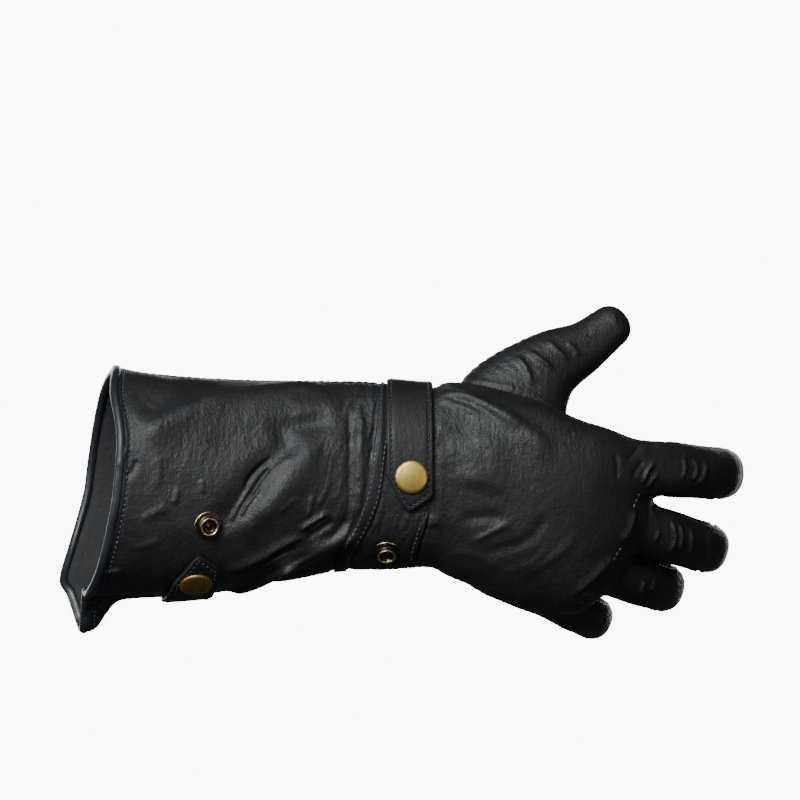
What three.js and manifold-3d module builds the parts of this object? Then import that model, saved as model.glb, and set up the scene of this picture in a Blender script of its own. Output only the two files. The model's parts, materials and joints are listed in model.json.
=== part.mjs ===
// A right-hand leather gauntlet glove, in the form a hand gives it: long cuff, wrist strap, curled fingers.
// Millimetres. +X runs from the open cuff to the fingertips, +Z points to the thumb side of the hand
// and -Y is the way the back of the hand faces. The origin is the middle of the open end of the cuff.
import * as THREE from 'three';
import { mergeVertices } from 'three/addons/utils/BufferGeometryUtils.js';
import Module from 'manifold-3d';

const wasm = await Module();
wasm.setup();

// Leather
const WALL = 2; // shell of leather and its inner layer
const SEAM_GAP = 0.3; // clearance between pieces that are sewn or pressed together
const STRAP_THICKNESS = 2; // two layers of leather, turned at the edges

// Sleeve: the cuff, the wrist and the palm are one hollow form
const CUFF_LENGTH = 122; // open end to the wrist seam, along the middle of the back
const BAND_LENGTH = 25; // gathered strip between the wrist seam and the hand
const PALM_LENGTH = 97; // hand seam to the fork of the fingers
const MOUTH_WIDTH = 103; // open end, thumb side to little finger side
const MOUTH_DEPTH = 88; // open end, back to palm
const WRIST_WIDTH = 80;
const WRIST_DEPTH = 57;
const PALM_WIDTH = 93;
const PALM_DEPTH = 48;
const BINDING_RADIUS = 2.7; // rolled edge round the open end
const FINGER_LENGTH = 109; // knuckle to tip of the middle finger
const FINGER_WIDTH = 24;
const THUMB_WIDTH = 19.5; // near its tip

// Strap, tab and snaps
const STRAP_WIDTH = 19;
const STRAP_REACH = 70; // snap to the sewn end of the wrist strap
const TAB_REACH = 34; // snap to the sewn end of the cuff tab
const POINT_LENGTH = 15; // snap to the pointed tip, on both
const CAP_RADIUS = 7.4;
const CAP_HEIGHT = 2.4;
const STUD_RADIUS = 6.4;
const STUD_HEIGHT = 3.6;
const SNAP_SIDES = 12;

const WRIST_X = CUFF_LENGTH + BAND_LENGTH;
const OUTSIDE = 90; // reach of a cutting solid past the glove
const SIDES = 28; // facets round the sleeve

// Sleeve sections. along: share of the way from the open end to the hand seam.
// wide, deep: 0 has the size of the open end and 1 that of the wrist. rise: share of MOUTH_WIDTH.
// rings: how many rows of facets lead to the next section.
const CUFF_SECTIONS = [
  { along: 0.0, wide: 0.0, deep: 0.0, rise: 0.0, rings: 2 },
  { along: 0.15, wide: 0.14, deep: 0.1, rise: -0.005, rings: 1 },
  { along: 0.3, wide: 0.3, deep: 0.23, rise: -0.006, rings: 3 },
  { along: 0.46, wide: 0.5, deep: 0.4, rise: 0.006, rings: 3 },
  { along: 0.61, wide: 0.7, deep: 0.6, rise: 0.025, rings: 3 },
  { along: 0.73, wide: 0.86, deep: 0.76, rise: 0.038, rings: 3 },
  { along: 0.87, wide: 0.9, deep: 0.92, rise: 0.036, rings: 2 },
  { along: 1.0, wide: 1.0, deep: 1.0, rise: 0.034, rings: 1 },
];

// Palm sections. along: share of PALM_LENGTH past the hand seam. wide and rise: shares of PALM_WIDTH.
// deep and sway (towards the palm side): shares of PALM_DEPTH.
// roll: how far the little finger side turns back, degrees.
const PALM_SECTIONS = [
  { along: 0.09, wide: 0.925, deep: 1.12, rise: 0.024, sway: 0.0, roll: 1, rings: 2 },
  { along: 0.32, wide: 0.985, deep: 1.06, rise: -0.038, sway: 0.0, roll: 4, rings: 1 },
  { along: 0.535, wide: 0.98, deep: 0.94, rise: -0.11, sway: 0.0, roll: 8, rings: 1 },
  { along: 0.68, wide: 0.92, deep: 0.82, rise: -0.15, sway: 0.03, roll: 10, rings: 1 },
  { along: 0.81, wide: 0.76, deep: 0.68, rise: -0.118, sway: 0.09, roll: 11, rings: 1 },
  { along: 0.92, wide: 0.52, deep: 0.52, rise: -0.07, sway: 0.18, roll: 11, rings: 1 },
  { along: 1.0, wide: 0.24, deep: 0.3, rise: -0.03, sway: 0.27, roll: 11, rings: 0 },
];

// How far the open end stands out or back round its edge. shift: share of CUFF_LENGTH.
const RIM_SHIFTS = [
  { angle: -180, shift: -0.05 },
  { angle: -150, shift: -0.11 },
  { angle: -125, shift: -0.14 },
  { angle: -112, shift: -0.11 },
  { angle: -100, shift: -0.065 },
  { angle: -75, shift: -0.045 },
  { angle: -45, shift: 0.005 },
  { angle: -22, shift: 0.04 },
  { angle: 0, shift: 0.07 },
  { angle: 22, shift: 0.08 },
  { angle: 50, shift: 0.055 },
  { angle: 90, shift: 0.055 },
  { angle: 135, shift: 0.0 },
  { angle: 180, shift: -0.05 },
];

// Main folds. Angles go round the sleeve: 0 is the back of the hand, 90 the thumb side, -90 the little
// finger side. fromX and toX: shares of WRIST_X. spread and height: shares of WRIST_WIDTH, dents negative.
const FOLDS = [
  { name: 'corner', fromX: -0.12, fromAngle: -104, toX: 0.025, toAngle: -100, spread: 0.085, height: 0.18 },
  { name: 'corner_dent', fromX: -0.08, fromAngle: -80, toX: 0.16, toAngle: -84, spread: 0.06, height: -0.04 },
  { name: 'overlap', fromX: 0.43, fromAngle: -84, toX: 0.57, toAngle: -55, spread: 0.06, height: 0.036 },
  { name: 'overlap_end', fromX: 0.57, fromAngle: -55, toX: 0.74, toAngle: -38, spread: 0.055, height: 0.036 },
  { name: 'under_lap', fromX: 0.5, fromAngle: -86, toX: 0.74, toAngle: -54, spread: 0.065, height: -0.03 },
  { name: 'long_ridge', fromX: 0.14, fromAngle: 28, toX: 0.6, toAngle: 68, spread: 0.12, height: 0.026 },
  { name: 'long_dent', fromX: 0.4, fromAngle: 22, toX: 0.8, toAngle: 36, spread: 0.1, height: -0.02 },
  { name: 'stud_dent', fromX: 0.39, fromAngle: -14, toX: 0.56, toAngle: 17, spread: 0.07, height: -0.03 },
  { name: 'stud_ridge', fromX: 0.46, fromAngle: -20, toX: 0.63, toAngle: 11, spread: 0.07, height: 0.022 },
  { name: 'wrist_pucker', fromX: 0.755, fromAngle: -38, toX: 0.77, toAngle: 22, spread: 0.045, height: 0.02 },
  { name: 'wrist_dent', fromX: 0.71, fromAngle: -42, toX: 0.715, toAngle: 30, spread: 0.045, height: -0.02 },
  { name: 'thumb_gather', fromX: 1.05, fromAngle: 60, toX: 1.32, toAngle: 38, spread: 0.07, height: 0.022 },
];

// Seam lines seen from the back. rise: share of WRIST_WIDTH above the wrist's middle.
// shift: share of BAND_LENGTH towards the fingers.
const WRIST_SEAM = [
  { rise: -1.2, shift: -1.1 },
  { rise: -0.45, shift: -0.55 },
  { rise: -0.3, shift: -0.27 },
  { rise: -0.15, shift: -0.06 },
  { rise: 0.0, shift: 0.04 },
  { rise: 0.5, shift: 0.22 },
  { rise: 1.2, shift: 0.3 },
];
const HAND_SEAM = [
  { rise: -1.2, shift: -0.6 },
  { rise: -0.45, shift: -0.3 },
  { rise: -0.2, shift: -0.08 },
  { rise: 0.0, shift: 0.02 },
  { rise: 1.2, shift: 0.02 },
];

// Fingers. along, rise: the knuckle as shares of PALM_LENGTH and PALM_WIDTH. out: how far it stands towards
// the palm side, share of PALM_DEPTH. dip: the finger's slope in the plane of the hand, degrees.
// lengths, shares of FINGER_LENGTH: knuckle to middle joint, to last joint, to the middle of the tip.
// bends: each length's slope towards the palm, degrees. radii: root, middle and tip, shares of FINGER_WIDTH.
const FINGERS = [
  {
    name: 'index', along: 0.74, rise: 0.105, out: -0.02, dip: -5,
    lengths: [0.422, 0.248, 0.147], bends: [29, 57, 78], radii: [0.53, 0.5, 0.465],
  },
  {
    name: 'middle', along: 0.7, rise: -0.125, out: -0.02, dip: -17,
    lengths: [0.459, 0.284, 0.156], bends: [35, 61, 82], radii: [0.51, 0.485, 0.455],
  },
  {
    name: 'ring', along: 0.59, rise: -0.335, out: 0.0, dip: -18,
    lengths: [0.431, 0.266, 0.156], bends: [38, 67, 90], radii: [0.48, 0.46, 0.435],
  },
  {
    name: 'little', along: 0.42, rise: -0.47, out: 0.02, dip: -27,
    lengths: [0.349, 0.202, 0.128], bends: [42, 71, 93], radii: [0.42, 0.4, 0.375],
  },
];
const FINGER_FLATNESS = 0.93; // back-to-palm size over side-to-side size
const FINGER_ROOT = 0.1; // how far a finger starts inside the hand, share of FINGER_LENGTH
const FINGER_SIDES = 10;
const INNER_SIDES = 8; // inside a finger or the thumb
const FINGER_RINGS = 7;
const TIP_RINGS = 2;
const FOURCHETTE_HALF = 0.46; // half the width of a side strip, share of the finger's radius
const FOURCHETTE_IN = 0.3; // where a side strip starts, share of the finger's radius from its middle
const WHOLE = 1.5; // past a finger's skin, share of its radius

// Thumb sections from its base in the palm to its tip. along: share of PALM_LENGTH past the hand seam.
// rise: share of PALM_WIDTH. out: share of PALM_DEPTH towards the palm side. wide, deep: half sizes,
// shares of THUMB_WIDTH.
const THUMB_SECTIONS = [
  { along: 0.17, rise: -0.2, out: 0.08, wide: 0.9, deep: 0.5 },
  { along: 0.28, rise: 0.09, out: 0.24, wide: 1.5, deep: 0.88 },
  { along: 0.38, rise: 0.37, out: 0.33, wide: 1.33, deep: 0.9 },
  { along: 0.52, rise: 0.55, out: 0.42, wide: 0.87, deep: 0.78 },
  { along: 0.7, rise: 0.66, out: 0.52, wide: 0.6, deep: 0.58 },
  { along: 0.815, rise: 0.75, out: 0.58, wide: 0.5, deep: 0.49 },
];
const THUMB_SIDES = 12;

const LEATHER = { color: 0x1b1d20, roughness: 0.5, metalness: 0 };
const STRAP_LEATHER = { color: 0x222428, roughness: 0.45, metalness: 0 };
const BRASS = { color: 0xa58a4a, roughness: 0.35, metalness: 1 };
const DARK_BRASS = { color: 0x8a7a55, roughness: 0.35, metalness: 1 };

const glove = new THREE.Group();

const toRadians = THREE.MathUtils.degToRad;

// A smooth curve through one column of a table, read at any place along another.
function readTable(rows, key, column, at) {
  const last = rows.length - 1;
  if (at <= rows[0][key]) return rows[0][column];
  if (at >= rows[last][key]) return rows[last][column];
  const i = rows.findIndex((row) => row[key] > at) - 1;
  const slopeAt = (k) => {
    const a = rows[Math.max(k - 1, 0)];
    const b = rows[Math.min(k + 1, last)];
    return (b[column] - a[column]) / (b[key] - a[key]);
  };
  const span = rows[i + 1][key] - rows[i][key];
  const t = (at - rows[i][key]) / span;
  const start = rows[i][column];
  const end = rows[i + 1][column];
  const rise = end - start;
  const startSlope = slopeAt(i) * span;
  const endSlope = slopeAt(i + 1) * span;
  const bend = startSlope + endSlope - 2 * rise;
  return start + t * (startSlope + t * (3 * rise - 2 * startSlope - endSlope + t * bend));
}

// Sections of the whole sleeve in millimetres, from the two tables of shares.
const SLEEVE = [
  ...CUFF_SECTIONS.map((row) => ({
    x: row.along * WRIST_X,
    rings: row.rings,
    width: THREE.MathUtils.lerp(MOUTH_WIDTH, WRIST_WIDTH, row.wide),
    depth: THREE.MathUtils.lerp(MOUTH_DEPTH, WRIST_DEPTH, row.deep),
    rise: row.rise * MOUTH_WIDTH,
    sway: 0,
    roll: 0,
  })),
  ...PALM_SECTIONS.map((row) => ({
    x: WRIST_X + row.along * PALM_LENGTH,
    rings: row.rings,
    width: row.wide * PALM_WIDTH,
    depth: row.deep * PALM_DEPTH,
    rise: row.rise * PALM_WIDTH,
    sway: row.sway * PALM_DEPTH,
    roll: row.roll,
  })),
];
const SLEEVE_END = SLEEVE[SLEEVE.length - 1].x;
const SECTION_POWER = 2.3; // 2 is an ellipse, more is squarer

// Where the rings of facets stand along the sleeve, and the angles of the facets round it: they are
// closest on the back and the little finger side, where the folds are.
const STATIONS = SLEEVE.flatMap((row, i) =>
  Array.from({ length: row.rings }, (_, k) => row.x + (k / row.rings) * (SLEEVE[i + 1].x - row.x)),
);
STATIONS.push(SLEEVE_END);
const CLOSEST = 0.4;
const ANGLES = Array.from({ length: SIDES }, (_, j) => {
  const turn = j / SIDES;
  return 360 * (turn - 0.5) - 24 * Math.sin(2 * Math.PI * (turn - CLOSEST));
});

const sleeveSize = (column, x) => readTable(SLEEVE, 'x', column, x);

// How high the folds stand at a place on the sleeve.
function foldHeight(x, angle) {
  const girth = (sleeveSize('width', x) + sleeveSize('depth', x)) / 4;
  let height = 0;
  for (const fold of FOLDS) {
    const start = new THREE.Vector2(fold.fromX * WRIST_X, toRadians(fold.fromAngle) * girth);
    const end = new THREE.Vector2(fold.toX * WRIST_X, toRadians(fold.toAngle) * girth);
    const place = new THREE.Vector2(x, toRadians(angle) * girth);
    const along = end.clone().sub(start);
    const t = THREE.MathUtils.clamp(place.clone().sub(start).dot(along) / along.lengthSq(), 0, 1);
    const distance = place.distanceTo(start.addScaledVector(along, t));
    height += fold.height * WRIST_WIDTH * Math.exp(-((distance / (fold.spread * WRIST_WIDTH)) ** 2));
  }
  return height;
}

// The open end isn't cut square: each direction round it stands out by its own amount.
function rimShift(x, angle) {
  const turned = ((angle + 540) % 360) - 180;
  const fade = 1 - THREE.MathUtils.smoothstep(x, 0, 0.45 * CUFF_LENGTH);
  return readTable(RIM_SHIFTS, 'angle', 'shift', turned) * CUFF_LENGTH * fade;
}

// A point of the sleeve at x and an angle round it, moved out of the leather's face by a distance.
function sleevePoint(x, angle, outward = 0) {
  const a = toRadians(angle);
  const halfWidth = sleeveSize('width', x) / 2;
  const halfDepth = sleeveSize('depth', x) / 2;
  const round = (value) => Math.sign(value) * Math.abs(value) ** (2 / SECTION_POWER);
  const back = round(Math.cos(a));
  const up = round(Math.sin(a));
  const slope = (value, half) => (Math.sign(value) * Math.abs(value) ** (SECTION_POWER - 1)) / half;
  const normal = new THREE.Vector2(-slope(back, halfDepth), slope(up, halfWidth)).normalize();
  const turned = ((angle + 540) % 360) - 180;
  const lift = outward + foldHeight(x, turned);
  const flat = new THREE.Vector2(-back * halfDepth + normal.x * lift, up * halfWidth + normal.y * lift);
  flat.rotateAround(new THREE.Vector2(), toRadians(sleeveSize('roll', x)));
  return new THREE.Vector3(
    x + rimShift(x, angle),
    flat.x + sleeveSize('sway', x),
    flat.y + sleeveSize('rise', x),
  );
}

// The outward direction of the sleeve's surface at x and an angle.
function sleeveNormal(x, angle) {
  const step = 1;
  const along = sleevePoint(x + step, angle).sub(sleevePoint(x - step, angle));
  const round = sleevePoint(x, angle + step).sub(sleevePoint(x, angle - step));
  return along.cross(round).normalize();
}

// The angle where the sleeve's back face stands at a height z, on its section at x.
function angleAtHeight(x, z) {
  const share = (z - sleeveSize('rise', x)) / (sleeveSize('width', x) / 2);
  const held = THREE.MathUtils.clamp(share, -1, 1);
  return THREE.MathUtils.radToDeg(Math.asin(Math.sign(held) * Math.abs(held) ** (SECTION_POWER / 2)));
}

// The angle reached by going a length round the sleeve's surface from a first angle.
function angleAfter(x, angle, length) {
  const step = length < 0 ? -1 : 1;
  let left = Math.abs(length);
  let here = sleevePoint(x, angle);
  while (left > 0) {
    const next = sleevePoint(x, angle + step);
    const moved = next.distanceTo(here);
    if (moved >= left) return angle + (step * left) / moved;
    left -= moved;
    angle += step;
    here = next;
  }
  return angle;
}

// A closed geometry from rings of points: walls between rings, and a fan over each end.
function loft(rings) {
  const points = rings.flat();
  const sides = rings[0].length;
  const index = [];
  for (let i = 0; i < rings.length - 1; i++) {
    for (let j = 0; j < sides; j++) {
      const a = i * sides + j;
      const b = i * sides + ((j + 1) % sides);
      index.push(a, b, a + sides, b, b + sides, a + sides);
    }
  }
  for (const [ring, start, flip] of [
    [rings[0], 0, true],
    [rings[rings.length - 1], (rings.length - 1) * sides, false],
  ]) {
    const middle = ring.reduce((sum, p) => sum.add(p), new THREE.Vector3()).divideScalar(sides);
    points.push(middle);
    const centre = points.length - 1;
    for (let j = 0; j < sides; j++) {
      const a = start + j;
      const b = start + ((j + 1) % sides);
      index.push(...(flip ? [b, a, centre] : [a, b, centre]));
    }
  }
  const geometry = new THREE.BufferGeometry().setFromPoints(points);
  geometry.setIndex(index);
  return geometry;
}

// Geometry to solid and back. A loft whose rings turn the other way round is turned right side out.
function toSolid(geometry) {
  const bare = geometry.clone();
  bare.deleteAttribute('normal');
  bare.deleteAttribute('uv');
  const merged = mergeVertices(bare, 1e-4);
  const vertProperties = new Float32Array(merged.attributes.position.array);
  const triVerts = new Uint32Array(merged.index.array);
  const solid = new wasm.Manifold(new wasm.Mesh({ numProp: 3, vertProperties, triVerts }));
  if (solid.volume() > 0) return solid;
  const turned = triVerts.map((vertex, i) => triVerts[i - (i % 3) + [0, 2, 1][i % 3]]);
  return new wasm.Manifold(new wasm.Mesh({ numProp: 3, vertProperties, triVerts: turned }));
}

function toGeometry(solid) {
  const mesh = solid.getMesh();
  const geometry = new THREE.BufferGeometry();
  geometry.setAttribute('position', new THREE.BufferAttribute(new Float32Array(mesh.vertProperties), 3));
  geometry.setIndex(new THREE.BufferAttribute(new Uint32Array(mesh.triVerts), 1));
  return geometry;
}

// The biggest body of a solid: a cut can leave crumbs beside it.
const mainBody = (solid) => solid.decompose().reduce((a, b) => (a.volume() > b.volume() ? a : b));

function addMesh(name, geometry, finish) {
  const shown = geometry.index ? geometry.toNonIndexed() : geometry;
  shown.computeVertexNormals();
  const mesh = new THREE.Mesh(shown, new THREE.MeshStandardMaterial(finish));
  mesh.name = name;
  glove.add(mesh);
  return mesh;
}

const addSolid = (name, solid, finish = LEATHER) => addMesh(name, toGeometry(mainBody(solid)), finish);

// The sleeve as one solid, from before its open end to the fork of the fingers.
function sleeveSolid(outward, before) {
  const rings = STATIONS.map((x) => ANGLES.map((angle) => sleevePoint(x, angle, outward)));
  rings[rings.length - 1].forEach((p) => p.setX(p.x + outward));
  if (before > 0) rings.unshift(rings[0].map((p) => p.clone().setX(p.x - before)));
  return toSolid(loft(rings));
}

// A region of the sleeve between two lines drawn on its back, right through it.
function cutAcross(lineStart, lineEnd) {
  const shape = new THREE.Shape([...lineStart, ...lineEnd.slice().reverse()]);
  const geometry = new THREE.ExtrudeGeometry(shape, { depth: 2 * OUTSIDE, bevelEnabled: false });
  geometry.translate(0, 0, -OUTSIDE);
  geometry.rotateX(Math.PI / 2);
  return toSolid(geometry);
}

// A seam as a line in the plane of the hand, moved along the glove by a distance.
function seamLine(rows, x, move = 0) {
  const middle = sleeveSize('rise', WRIST_X);
  const line = [];
  const steps = 16;
  for (let i = 0; i <= steps; i++) {
    const rise = THREE.MathUtils.lerp(rows[0].rise, rows[rows.length - 1].rise, i / steps);
    const shift = readTable(rows, 'rise', 'shift', rise) * BAND_LENGTH;
    line.push(new THREE.Vector2(x + shift + move, middle + rise * WRIST_WIDTH));
  }
  return line;
}

const straightLine = (x) => [new THREE.Vector2(x, -1.5 * OUTSIDE), new THREE.Vector2(x, 1.5 * OUTSIDE)];

// The back half of the sleeve's space: all that lies before its middle, less a margin.
function backRegion(margin) {
  const rings = [];
  const steps = 16;
  for (let i = 0; i <= steps; i++) {
    const x = -OUTSIDE + (i / steps) * (SLEEVE_END + 2 * OUTSIDE);
    const held = THREE.MathUtils.clamp(x, 0, SLEEVE_END);
    const roll = toRadians(sleeveSize('roll', held));
    const corner = (out, up) => {
      const flat = new THREE.Vector2(out, up).rotateAround(new THREE.Vector2(), roll);
      return new THREE.Vector3(x, flat.x + sleeveSize('sway', held), flat.y + sleeveSize('rise', held));
    };
    rings.push([
      corner(margin, OUTSIDE),
      corner(-OUTSIDE, OUTSIDE),
      corner(-OUTSIDE, -OUTSIDE),
      corner(margin, -OUTSIDE),
    ]);
  }
  return toSolid(loft(rings));
}

// A finger's spine and the directions that go with it at each ring.
function fingerSpine(finger) {
  const x = WRIST_X + finger.along * PALM_LENGTH;
  const z = finger.rise * PALM_WIDTH;
  const roll = toRadians(sleeveSize('roll', x));
  const y =
    sleeveSize('sway', x) - Math.tan(roll) * (z - sleeveSize('rise', x)) + finger.out * PALM_DEPTH;
  const dip = toRadians(finger.dip);
  const ahead = new THREE.Vector3(Math.cos(dip), 0, Math.sin(dip));
  const side = new THREE.Vector3(-Math.sin(dip), 0, Math.cos(dip));
  const step = (share, bend) => {
    const length = share * FINGER_LENGTH;
    const forward = ahead.clone().multiplyScalar(Math.cos(toRadians(bend)) * length);
    return forward.setY(Math.sin(toRadians(bend)) * length);
  };
  const joints = [new THREE.Vector3(x, y, z)];
  finger.lengths.forEach((length, i) => joints.push(joints[i].clone().add(step(length, finger.bends[i]))));
  joints.unshift(joints[0].clone().sub(step(FINGER_ROOT, finger.bends[0] / 2)));
  const curve = new THREE.CatmullRomCurve3(joints, false, 'centripetal');
  return { curve, side };
}

// Places along a finger, each with its centre, its directions and the finger's radius there.
function fingerStations(finger) {
  const { curve, side } = fingerSpine(finger);
  const stations = [];
  for (let i = 0; i <= FINGER_RINGS; i++) {
    const u = i / FINGER_RINGS;
    const ahead = curve.getTangentAt(u);
    const [root, middle, end] = finger.radii;
    const share = u < 0.5 ? root + (middle - root) * 2 * u : middle + (end - middle) * (2 * u - 1);
    const radius = share * FINGER_WIDTH;
    stations.push({ centre: curve.getPointAt(u), ahead, side, back: ahead.clone().cross(side), radius });
  }
  return stations;
}

// A finger as a solid, its skin moved out by a distance.
function fingerSolid(finger, outward) {
  const stations = fingerStations(finger);
  const tip = stations[stations.length - 1];
  const sides = outward < 0 ? INNER_SIDES : FINGER_SIDES;
  const rings = [];
  const addRing = (place, radius, ahead) => {
    const ring = [];
    for (let j = 0; j < sides; j++) {
      const a = (j / sides) * 2 * Math.PI;
      ring.push(
        place.centre
          .clone()
          .addScaledVector(place.ahead, ahead)
          .addScaledVector(place.side, Math.sin(a) * radius)
          .addScaledVector(place.back, Math.cos(a) * radius * FINGER_FLATNESS),
      );
    }
    rings.push(ring);
  };
  stations.forEach((place) => addRing(place, place.radius + outward, 0));
  const radius = tip.radius + outward;
  for (let i = 1; i <= TIP_RINGS; i++) {
    const a = (i / (TIP_RINGS + 0.35)) * (Math.PI / 2);
    addRing(tip, radius * Math.cos(a) ** 0.8, radius * Math.sin(a));
  }
  return toSolid(loft(rings));
}

// A bar that follows a finger: low and high limits across it, each measured from its middle in radii
// sideways and from its back face to its palm face, with a margin added all round.
function fingerBar(finger, [sideLow, sideHigh], [backLow, backHigh], margin) {
  const stations = fingerStations(finger);
  const tip = stations[stations.length - 1];
  const past = { ...tip, centre: tip.centre.clone().addScaledVector(tip.ahead, 2 * tip.radius) };
  const rings = [...stations, past].map((place) => {
    const corner = (sideways, back) =>
      place.centre
        .clone()
        .addScaledVector(place.side, sideways)
        .addScaledVector(place.back, back);
    const low = sideLow * place.radius - margin;
    const high = sideHigh * place.radius + margin;
    const under = backLow * place.radius - margin;
    const over = backHigh * place.radius + margin;
    return [corner(low, under), corner(high, under), corner(high, over), corner(low, over)];
  });
  return toSolid(loft(rings));
}

// The thumb as a solid, its skin moved out by a distance.
function thumbSolid(outward) {
  const centres = THUMB_SECTIONS.map(
    (row) =>
      new THREE.Vector3(
        WRIST_X + row.along * PALM_LENGTH,
        row.out * PALM_DEPTH,
        row.rise * PALM_WIDTH,
      ),
  );
  const curve = new THREE.CatmullRomCurve3(centres, false, 'centripetal');
  const steps = 9;
  const sides = outward < 0 ? INNER_SIDES : THUMB_SIDES;
  const last = THUMB_SECTIONS.length - 1;
  const rows = THUMB_SECTIONS.map((row, i) => ({ ...row, at: i / last }));
  const rings = [];
  const addRing = (u, wide, deep, forward) => {
    const ahead = curve.getTangent(u);
    const across = new THREE.Vector3(0, 1, 0).cross(ahead).normalize();
    const out = ahead.clone().cross(across);
    const centre = curve.getPoint(u).addScaledVector(ahead, forward);
    const ring = [];
    for (let j = 0; j < sides; j++) {
      const a = (j / sides) * 2 * Math.PI;
      ring.push(
        centre
          .clone()
          .addScaledVector(across, Math.cos(a) * wide)
          .addScaledVector(out, Math.sin(a) * deep),
      );
    }
    rings.push(ring);
  };
  for (let i = 0; i <= steps; i++) {
    const u = i / steps;
    const wide = readTable(rows, 'at', 'wide', u) * THUMB_WIDTH + outward;
    const deep = readTable(rows, 'at', 'deep', u) * THUMB_WIDTH + outward;
    addRing(u, wide, deep, 0);
  }
  for (let i = 1; i <= TIP_RINGS; i++) {
    const a = (i / (TIP_RINGS + 0.35)) * (Math.PI / 2);
    const wide = rows[last].wide * THUMB_WIDTH + outward;
    const deep = rows[last].deep * THUMB_WIDTH + outward;
    const shrink = Math.cos(a) ** 0.8;
    addRing(1, wide * shrink, deep * shrink, wide * Math.sin(a));
  }
  return toSolid(loft(rings));
}

// Leather laid on the sleeve. rows: places along it with the two edges, in mm across and round from a
// first point at x and an angle, turned in the leather's plane.
function laidLeather(x, angle, turn, rows, columns, thickness) {
  const layers = [-thickness, SEAM_GAP + thickness].map((height) =>
    rows.map((row) => {
      const points = [];
      for (let j = 0; j <= columns; j++) {
        const flat = new THREE.Vector2(THREE.MathUtils.lerp(row.left, row.right, j / columns), row.round);
        flat.rotateAround(new THREE.Vector2(), toRadians(turn));
        const here = x + flat.x;
        points.push(sleevePoint(here, angleAfter(here, angle, flat.y), height));
      }
      return points;
    }),
  );
  const rings = rows.map((row, i) => [...layers[1][i], ...layers[0][i].slice().reverse()]);
  return toSolid(loft(rings)).subtract(sleeveSolid(SEAM_GAP, 0));
}

// A strap's outline: a rounded sewn end, straight sides and an uneven point past the snap.
function strapRows(reach, width) {
  const half = width / 2;
  const rows = [];
  const roundSteps = 5;
  for (let i = 0; i <= roundSteps; i++) {
    const a = ((i + 0.35) / (roundSteps + 0.35)) * (Math.PI / 2);
    const across = half * Math.sin(a);
    rows.push({ round: reach - half + half * Math.cos(a), left: -across, right: across });
  }
  const straightSteps = 9;
  const shoulder = 0.07 * POINT_LENGTH;
  for (let i = 1; i <= straightSteps; i++) {
    const round = THREE.MathUtils.lerp(reach - half, shoulder, i / straightSteps);
    rows.push({ round, left: -half, right: half });
  }
  // The cuff side narrows from the snap on, the hand side only near the tip.
  const tip = -0.08 * width;
  rows.push({ round: -0.5 * POINT_LENGTH, left: THREE.MathUtils.lerp(-half, tip, 0.47), right: half });
  rows.push({ round: -0.98 * POINT_LENGTH, left: tip - 0.4, right: tip + 0.4 });
  return rows;
}

// A turned piece set on the sleeve at x and an angle, lifted off it.
function setOnSleeve(name, profile, x, angle, lift, finish) {
  const outline = profile.map(([radius, height]) => new THREE.Vector2(radius, height));
  const geometry = new THREE.LatheGeometry(outline, SNAP_SIDES);
  const mesh = addMesh(name, toGeometry(toSolid(geometry)), finish);
  const normal = sleeveNormal(x, angle);
  mesh.quaternion.setFromUnitVectors(new THREE.Vector3(0, 1, 0), normal);
  mesh.position.copy(sleevePoint(x, angle)).addScaledVector(normal, lift);
  return mesh;
}

// Flat-domed cap of a snap, with a rounded edge.
const CAP_PROFILE = [
  [0, 0],
  [CAP_RADIUS * 0.94, 0],
  [CAP_RADIUS, CAP_HEIGHT * 0.25],
  [CAP_RADIUS * 0.97, CAP_HEIGHT * 0.55],
  [CAP_RADIUS * 0.86, CAP_HEIGHT * 0.8],
  [CAP_RADIUS * 0.5, CAP_HEIGHT * 0.96],
  [0, CAP_HEIGHT],
];

// Open stud of a snap: wide flange, raised post with a rolled head, and a hollow middle.
const STUD_PROFILE = [
  [0, 0],
  [STUD_RADIUS, 0],
  [STUD_RADIUS * 0.93, STUD_HEIGHT * 0.28],
  [STUD_RADIUS * 0.62, STUD_HEIGHT * 0.3],
  [STUD_RADIUS * 0.55, STUD_HEIGHT * 0.55],
  [STUD_RADIUS * 0.6, STUD_HEIGHT * 0.78],
  [STUD_RADIUS * 0.54, STUD_HEIGHT],
  [STUD_RADIUS * 0.4, STUD_HEIGHT],
  [STUD_RADIUS * 0.33, STUD_HEIGHT * 0.6],
  [STUD_RADIUS * 0.14, STUD_HEIGHT * 0.6],
  [0, STUD_HEIGHT * 0.75],
];

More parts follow.
